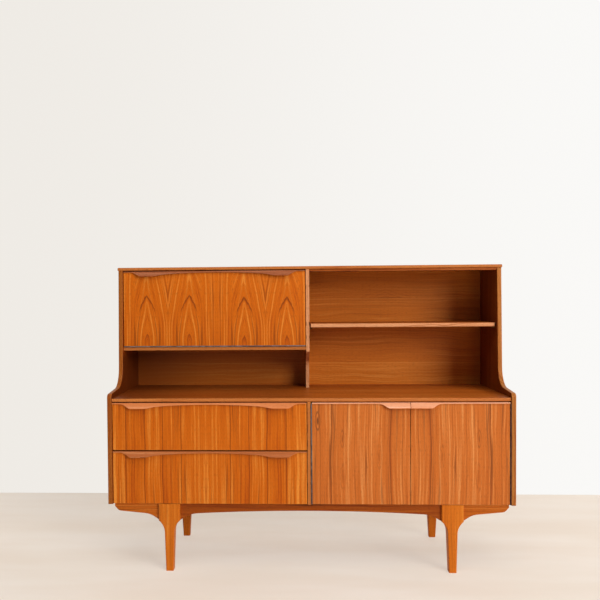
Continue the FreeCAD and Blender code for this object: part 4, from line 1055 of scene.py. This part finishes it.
def fit_screws(steel):
    """All the screws that show, one mesh for each body."""
    tree = screw_tree()
    case = leaf_screws("left_door_frame_leaf", "x", 1, DOOR_SCREW_PITCH)
    case += leaf_screws("right_door_frame_leaf", "x", -1, DOOR_SCREW_PITCH)
    case += leaf_screws("flap_frame_leaf", "z", 1, FLAP_SCREW_PITCH) + plate_screws()
    flap = leaf_screws("flap_leaf", "z", -1, FLAP_SCREW_PITCH) + bracket_screws()
    flap += strike_screw("flap_strike")
    left = leaf_screws("left_door_leaf", "x", -1, DOOR_SCREW_PITCH) + strike_screw("left_door_strike")
    right = leaf_screws("right_door_leaf", "x", 1, DOOR_SCREW_PITCH) + strike_screw("right_door_strike")
    drive_screws(tree, "back_panel_screws", "carcass", back_screws(), BACK_RADIUS, BACK_RISE, steel, 1)
    drive_screws(tree, "case_fixing_screws", "carcass", case, FIXING_RADIUS, CASE_RISE, steel, 2)
    drive_screws(tree, "flap_screws", "flap", flap, FIXING_RADIUS, MOVING_RISE, steel, 3)
    drive_screws(tree, "left_door_screws", "left_door", left, FIXING_RADIUS, MOVING_RISE, steel, 4)
    drive_screws(tree, "right_door_screws", "right_door", right, FIXING_RADIUS, MOVING_RISE, steel, 5)


# Catches: the rounding of the case, and the pole plates' sizes, in metres
CATCH_ROUND = 0.0012
POLE_PROUD = 0.0008
POLE_DEPTH = 0.0032
POLE_HEIGHT = 0.0022
POLE_LENGTH = 0.020
POLE_ROUND = 0.0002


def add_box(mesh, low, high, material, bevel):
    """Adds a box with softened edges to a mesh under construction."""
    size = Vector(high) - Vector(low)
    middle = (Vector(high) + Vector(low)) / 2
    place = Matrix.Translation(middle) @ Matrix.Diagonal((*size, 1.0))
    made = bmesh.ops.create_cube(mesh, size=1.0, matrix=place)
    edges = list({edge for vertex in made["verts"] for edge in vertex.link_edges})
    faces = {face for vertex in made["verts"] for face in vertex.link_faces}
    softened = bmesh.ops.bevel(mesh, geom=edges, offset=bevel, segments=2, affect="EDGES", profile=0.5)
    for face in faces.union(softened["faces"]):
        if face.is_valid:
            face.material_index = material


def fit_catches(plastic, steel):
    """Magnetic catches: a moulded case with steel pole plates that meet the strikes."""
    mesh = bmesh.new()
    points = [vertex.co.copy() for vertex in nodes["magnetic_catches"].data.vertices]
    low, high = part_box("magnetic_catches")
    middle = (low.z + high.z) / 2
    for group in ([p for p in points if p.z < middle], [p for p in points if p.z > middle]):
        start = Vector(min(p[n] for p in group) for n in range(3))
        end = Vector(max(p[n] for p in group) for n in range(3))
        add_box(mesh, (start.x, start.y + POLE_PROUD, start.z), end, 0, CATCH_ROUND)
        centre = (start.x + end.x) / 2
        for side in (-1, 1):
            pole = centre + side * (end.x - start.x) / 4
            for level in (start.z + POLE_HEIGHT, (start.z + end.z) / 2 - POLE_HEIGHT / 2):
                add_box(mesh, (pole - POLE_LENGTH / 2, start.y, level),
                        (pole + POLE_LENGTH / 2, start.y + POLE_DEPTH, level + POLE_HEIGHT), 1, POLE_ROUND)
    bmesh.ops.recalc_face_normals(mesh, faces=mesh.faces)
    shape = bpy.data.meshes.new("magnetic_catch_cases")
    mesh.to_mesh(shape)
    mesh.free()
    shape.materials.append(plastic)
    shape.materials.append(steel)
    piece = new_piece("magnetic_catch_cases", shape, "carcass")
    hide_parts("magnetic_catches")


def stage_plane(name, points, material):
    """A flat sheet of the studio."""
    mesh = bpy.data.meshes.new(name)
    mesh.from_pydata(points, [], [tuple(range(len(points)))])
    mesh.materials.append(material)
    sheet = bpy.data.objects.new(name, mesh)
    bpy.context.scene.collection.objects.link(sheet)


def seen_plainly(graph):
    """1 for what the camera sees, directly, mirrored or through glass, and 0 for light on the object."""
    path = graph.add("ShaderNodeLightPath")
    mirrored = graph.calc("MAXIMUM", path.outputs["Is Glossy Ray"], path.outputs["Is Transmission Ray"])
    return graph.calc("MAXIMUM", path.outputs["Is Camera Ray"], mirrored)


def blend_shaders(graph, amount, first, second):
    """A mix of two shaders."""
    choice = graph.add("ShaderNodeMixShader")
    for socket, value in zip(choice.inputs, (amount, first, second)):
        graph.feed(socket, value)
    return choice.outputs[0]


def show_backdrop(material, graph, shader, colour, share, one_sided=False):
    """Lets the camera see a share of a plain colour in place of the lit surface. A one-sided sheet can't be
    seen from behind."""
    glow = graph.add("ShaderNodeEmission")
    graph.feed(glow.inputs["Color"], colour)
    shown = graph.scaled(seen_plainly(graph), share)
    surface = blend_shaders(graph, shown, shader.outputs[0], glow.outputs[0])
    if one_sided:
        behind = graph.add("ShaderNodeNewGeometry").outputs["Backfacing"]
        clear = graph.add("ShaderNodeBsdfTransparent").outputs[0]
        surface = blend_shaders(graph, behind, surface, clear)
    graph.feed(material.node_tree.nodes["Material Output"].inputs["Surface"], surface)


# Studio colours, and how far the wall's two whites reach from the middle in mm
WALL_WHITE = paint(240, 238, 235)
WALL_LEFT_WHITE = paint(239, 235, 229)
WALL_RIGHT_WHITE = paint(250, 249, 247)
WALL_BLEND = 1600.0
WALL_ROUGHNESS = 0.9
FLOOR_SAND = paint(242, 228, 213)
FLOOR_CREAM = paint(247, 236, 224)
FLOOR_SCALE = (0.0012, 0.005, 1.0)
FLOOR_LEVELS = (0.3, 0.7)
FLOOR_ROUGHNESS = 0.6
FLOOR_PLAIN = 0.58


def studio_wall():
    """White wall that the camera sees as plain colour, lighter toward the right as painted light."""
    material, graph, shader = new_material("studio_wall")
    shader.inputs["Base Color"].default_value = WALL_WHITE
    shader.inputs["Roughness"].default_value = WALL_ROUGHNESS
    from_left = graph.step(graph.split(graph.place())[0], -WALL_BLEND, WALL_BLEND)
    colour = graph.mix(from_left, WALL_LEFT_WHITE, WALL_RIGHT_WHITE)
    show_backdrop(material, graph, shader, colour, 1.0, one_sided=True)
    return material


def studio_floor():
    """Pale floor with a soft variation. It keeps the object's shadow."""
    material, graph, shader = new_material("studio_floor")
    drift = graph.noise(graph.vector("MULTIPLY", graph.place(), FLOOR_SCALE), detail=3.0)
    colour = graph.mix(graph.step(drift, *FLOOR_LEVELS), FLOOR_SAND, FLOOR_CREAM)
    graph.feed(shader.inputs["Base Color"], colour)
    shader.inputs["Roughness"].default_value = FLOOR_ROUGHNESS
    show_backdrop(material, graph, shader, colour, FLOOR_PLAIN)
    return material


def add_lamp(name, place, target, size, power, colour):
    """A soft rectangular lamp aimed at a point."""
    data = bpy.data.lights.new(name, "AREA")
    data.shape = "RECTANGLE"
    data.size, data.size_y = size
    data.energy = power
    data.color = colour
    lamp = bpy.data.objects.new(name, data)
    lamp.location = place
    lamp.rotation_euler = (Vector(target) - Vector(place)).to_track_quat("-Z", "Y").to_euler()
    bpy.context.scene.collection.objects.link(lamp)


# The room's own light, its strength, and what the camera sees past the wall
ROOM_LIGHT = (1.0, 0.985, 0.96, 1.0)
ROOM_STRENGTH = 0.11
ROOM_HAZE = paint(244, 242, 238)


def set_stage():
    """Floor and wall."""
    reach = FLOOR_REACH
    back = WALL_DEPTH
    stage_plane("floor", [(-reach, -reach, 0), (reach, -reach, 0), (reach, reach, 0), (-reach, reach, 0)],
                studio_floor())
    stage_plane("wall", [(-reach, back, 0), (reach, back, 0), (reach, back, WALL_HEIGHT),
                         (-reach, back, WALL_HEIGHT)], studio_wall())


def set_light():
    """Window light from the front right, ceiling light and the room's own light."""
    add_lamp("window_light", place=(5.6, -7.0, 3.4), target=(0.0, 0.0, 0.55), size=(4.2, 3.6), power=525,
             colour=(1.0, 0.97, 0.93))
    add_lamp("ceiling_light", place=(0.3, -1.8, 3.2), target=(0.3, -1.7, 0.0), size=(3.0, 2.4), power=58,
             colour=(1.0, 0.98, 0.95))
    world = bpy.data.worlds.new("room")
    world.use_nodes = True
    graph = Graph(world.node_tree)
    room = world.node_tree.nodes["Background"]
    room.inputs["Color"].default_value = ROOM_LIGHT
    room.inputs["Strength"].default_value = ROOM_STRENGTH
    haze = graph.add("ShaderNodeBackground")
    haze.inputs["Color"].default_value = ROOM_HAZE
    sky = blend_shaders(graph, seen_plainly(graph), room.outputs[0], haze.outputs[0])
    graph.feed(world.node_tree.nodes["World Output"].inputs["Surface"], sky)
    bpy.context.scene.world = world
    bpy.context.scene.view_settings.view_transform = "Standard"


def set_camera():
    """The camera at the photograph's place."""
    data = bpy.data.cameras.new("camera")
    data.sensor_width = SENSOR_WIDTH
    data.lens = FOCAL_LENGTH
    data.shift_x, data.shift_y = FRAME_SHIFT
    camera = bpy.data.objects.new("camera", data)
    yaw = Matrix.Rotation(CAMERA_YAW, 4, "Z")
    pitch = Matrix.Rotation(math.pi / 2 + CAMERA_PITCH, 4, "X")
    roll = Matrix.Rotation(CAMERA_ROLL, 4, "Z")
    camera.matrix_world = Matrix.Translation(CAMERA_PLACE) @ yaw @ pitch @ roll
    bpy.context.scene.collection.objects.link(camera)
    bpy.context.scene.camera = camera


dress_fronts()
dress_case()
dress_base()
dress_drawers()
steel = worn_metal("rubbed_steel", paint(118, 114, 118), paint(86, 82, 86))
# Darker, browner steel for the right door's hinge: painted shade and reflection.
shaded_steel = worn_metal("shaded_steel", paint(92, 72, 68), paint(64, 48, 46))
brass = worn_metal("aged_brass", paint(132, 92, 46), paint(96, 64, 32))
plastic = catch_plastic()
for steel_node in STEEL_NODES:
    dress(steel_node, steel)
for shaded_steel_node in SHADED_STEEL_NODES:
    dress(shaded_steel_node, shaded_steel)
dress("shelf_pegs", brass)
fit_screws(steel)
fit_catches(plastic, steel)
set_stage()
set_light()
set_camera()

bpy.context.view_layer.update()
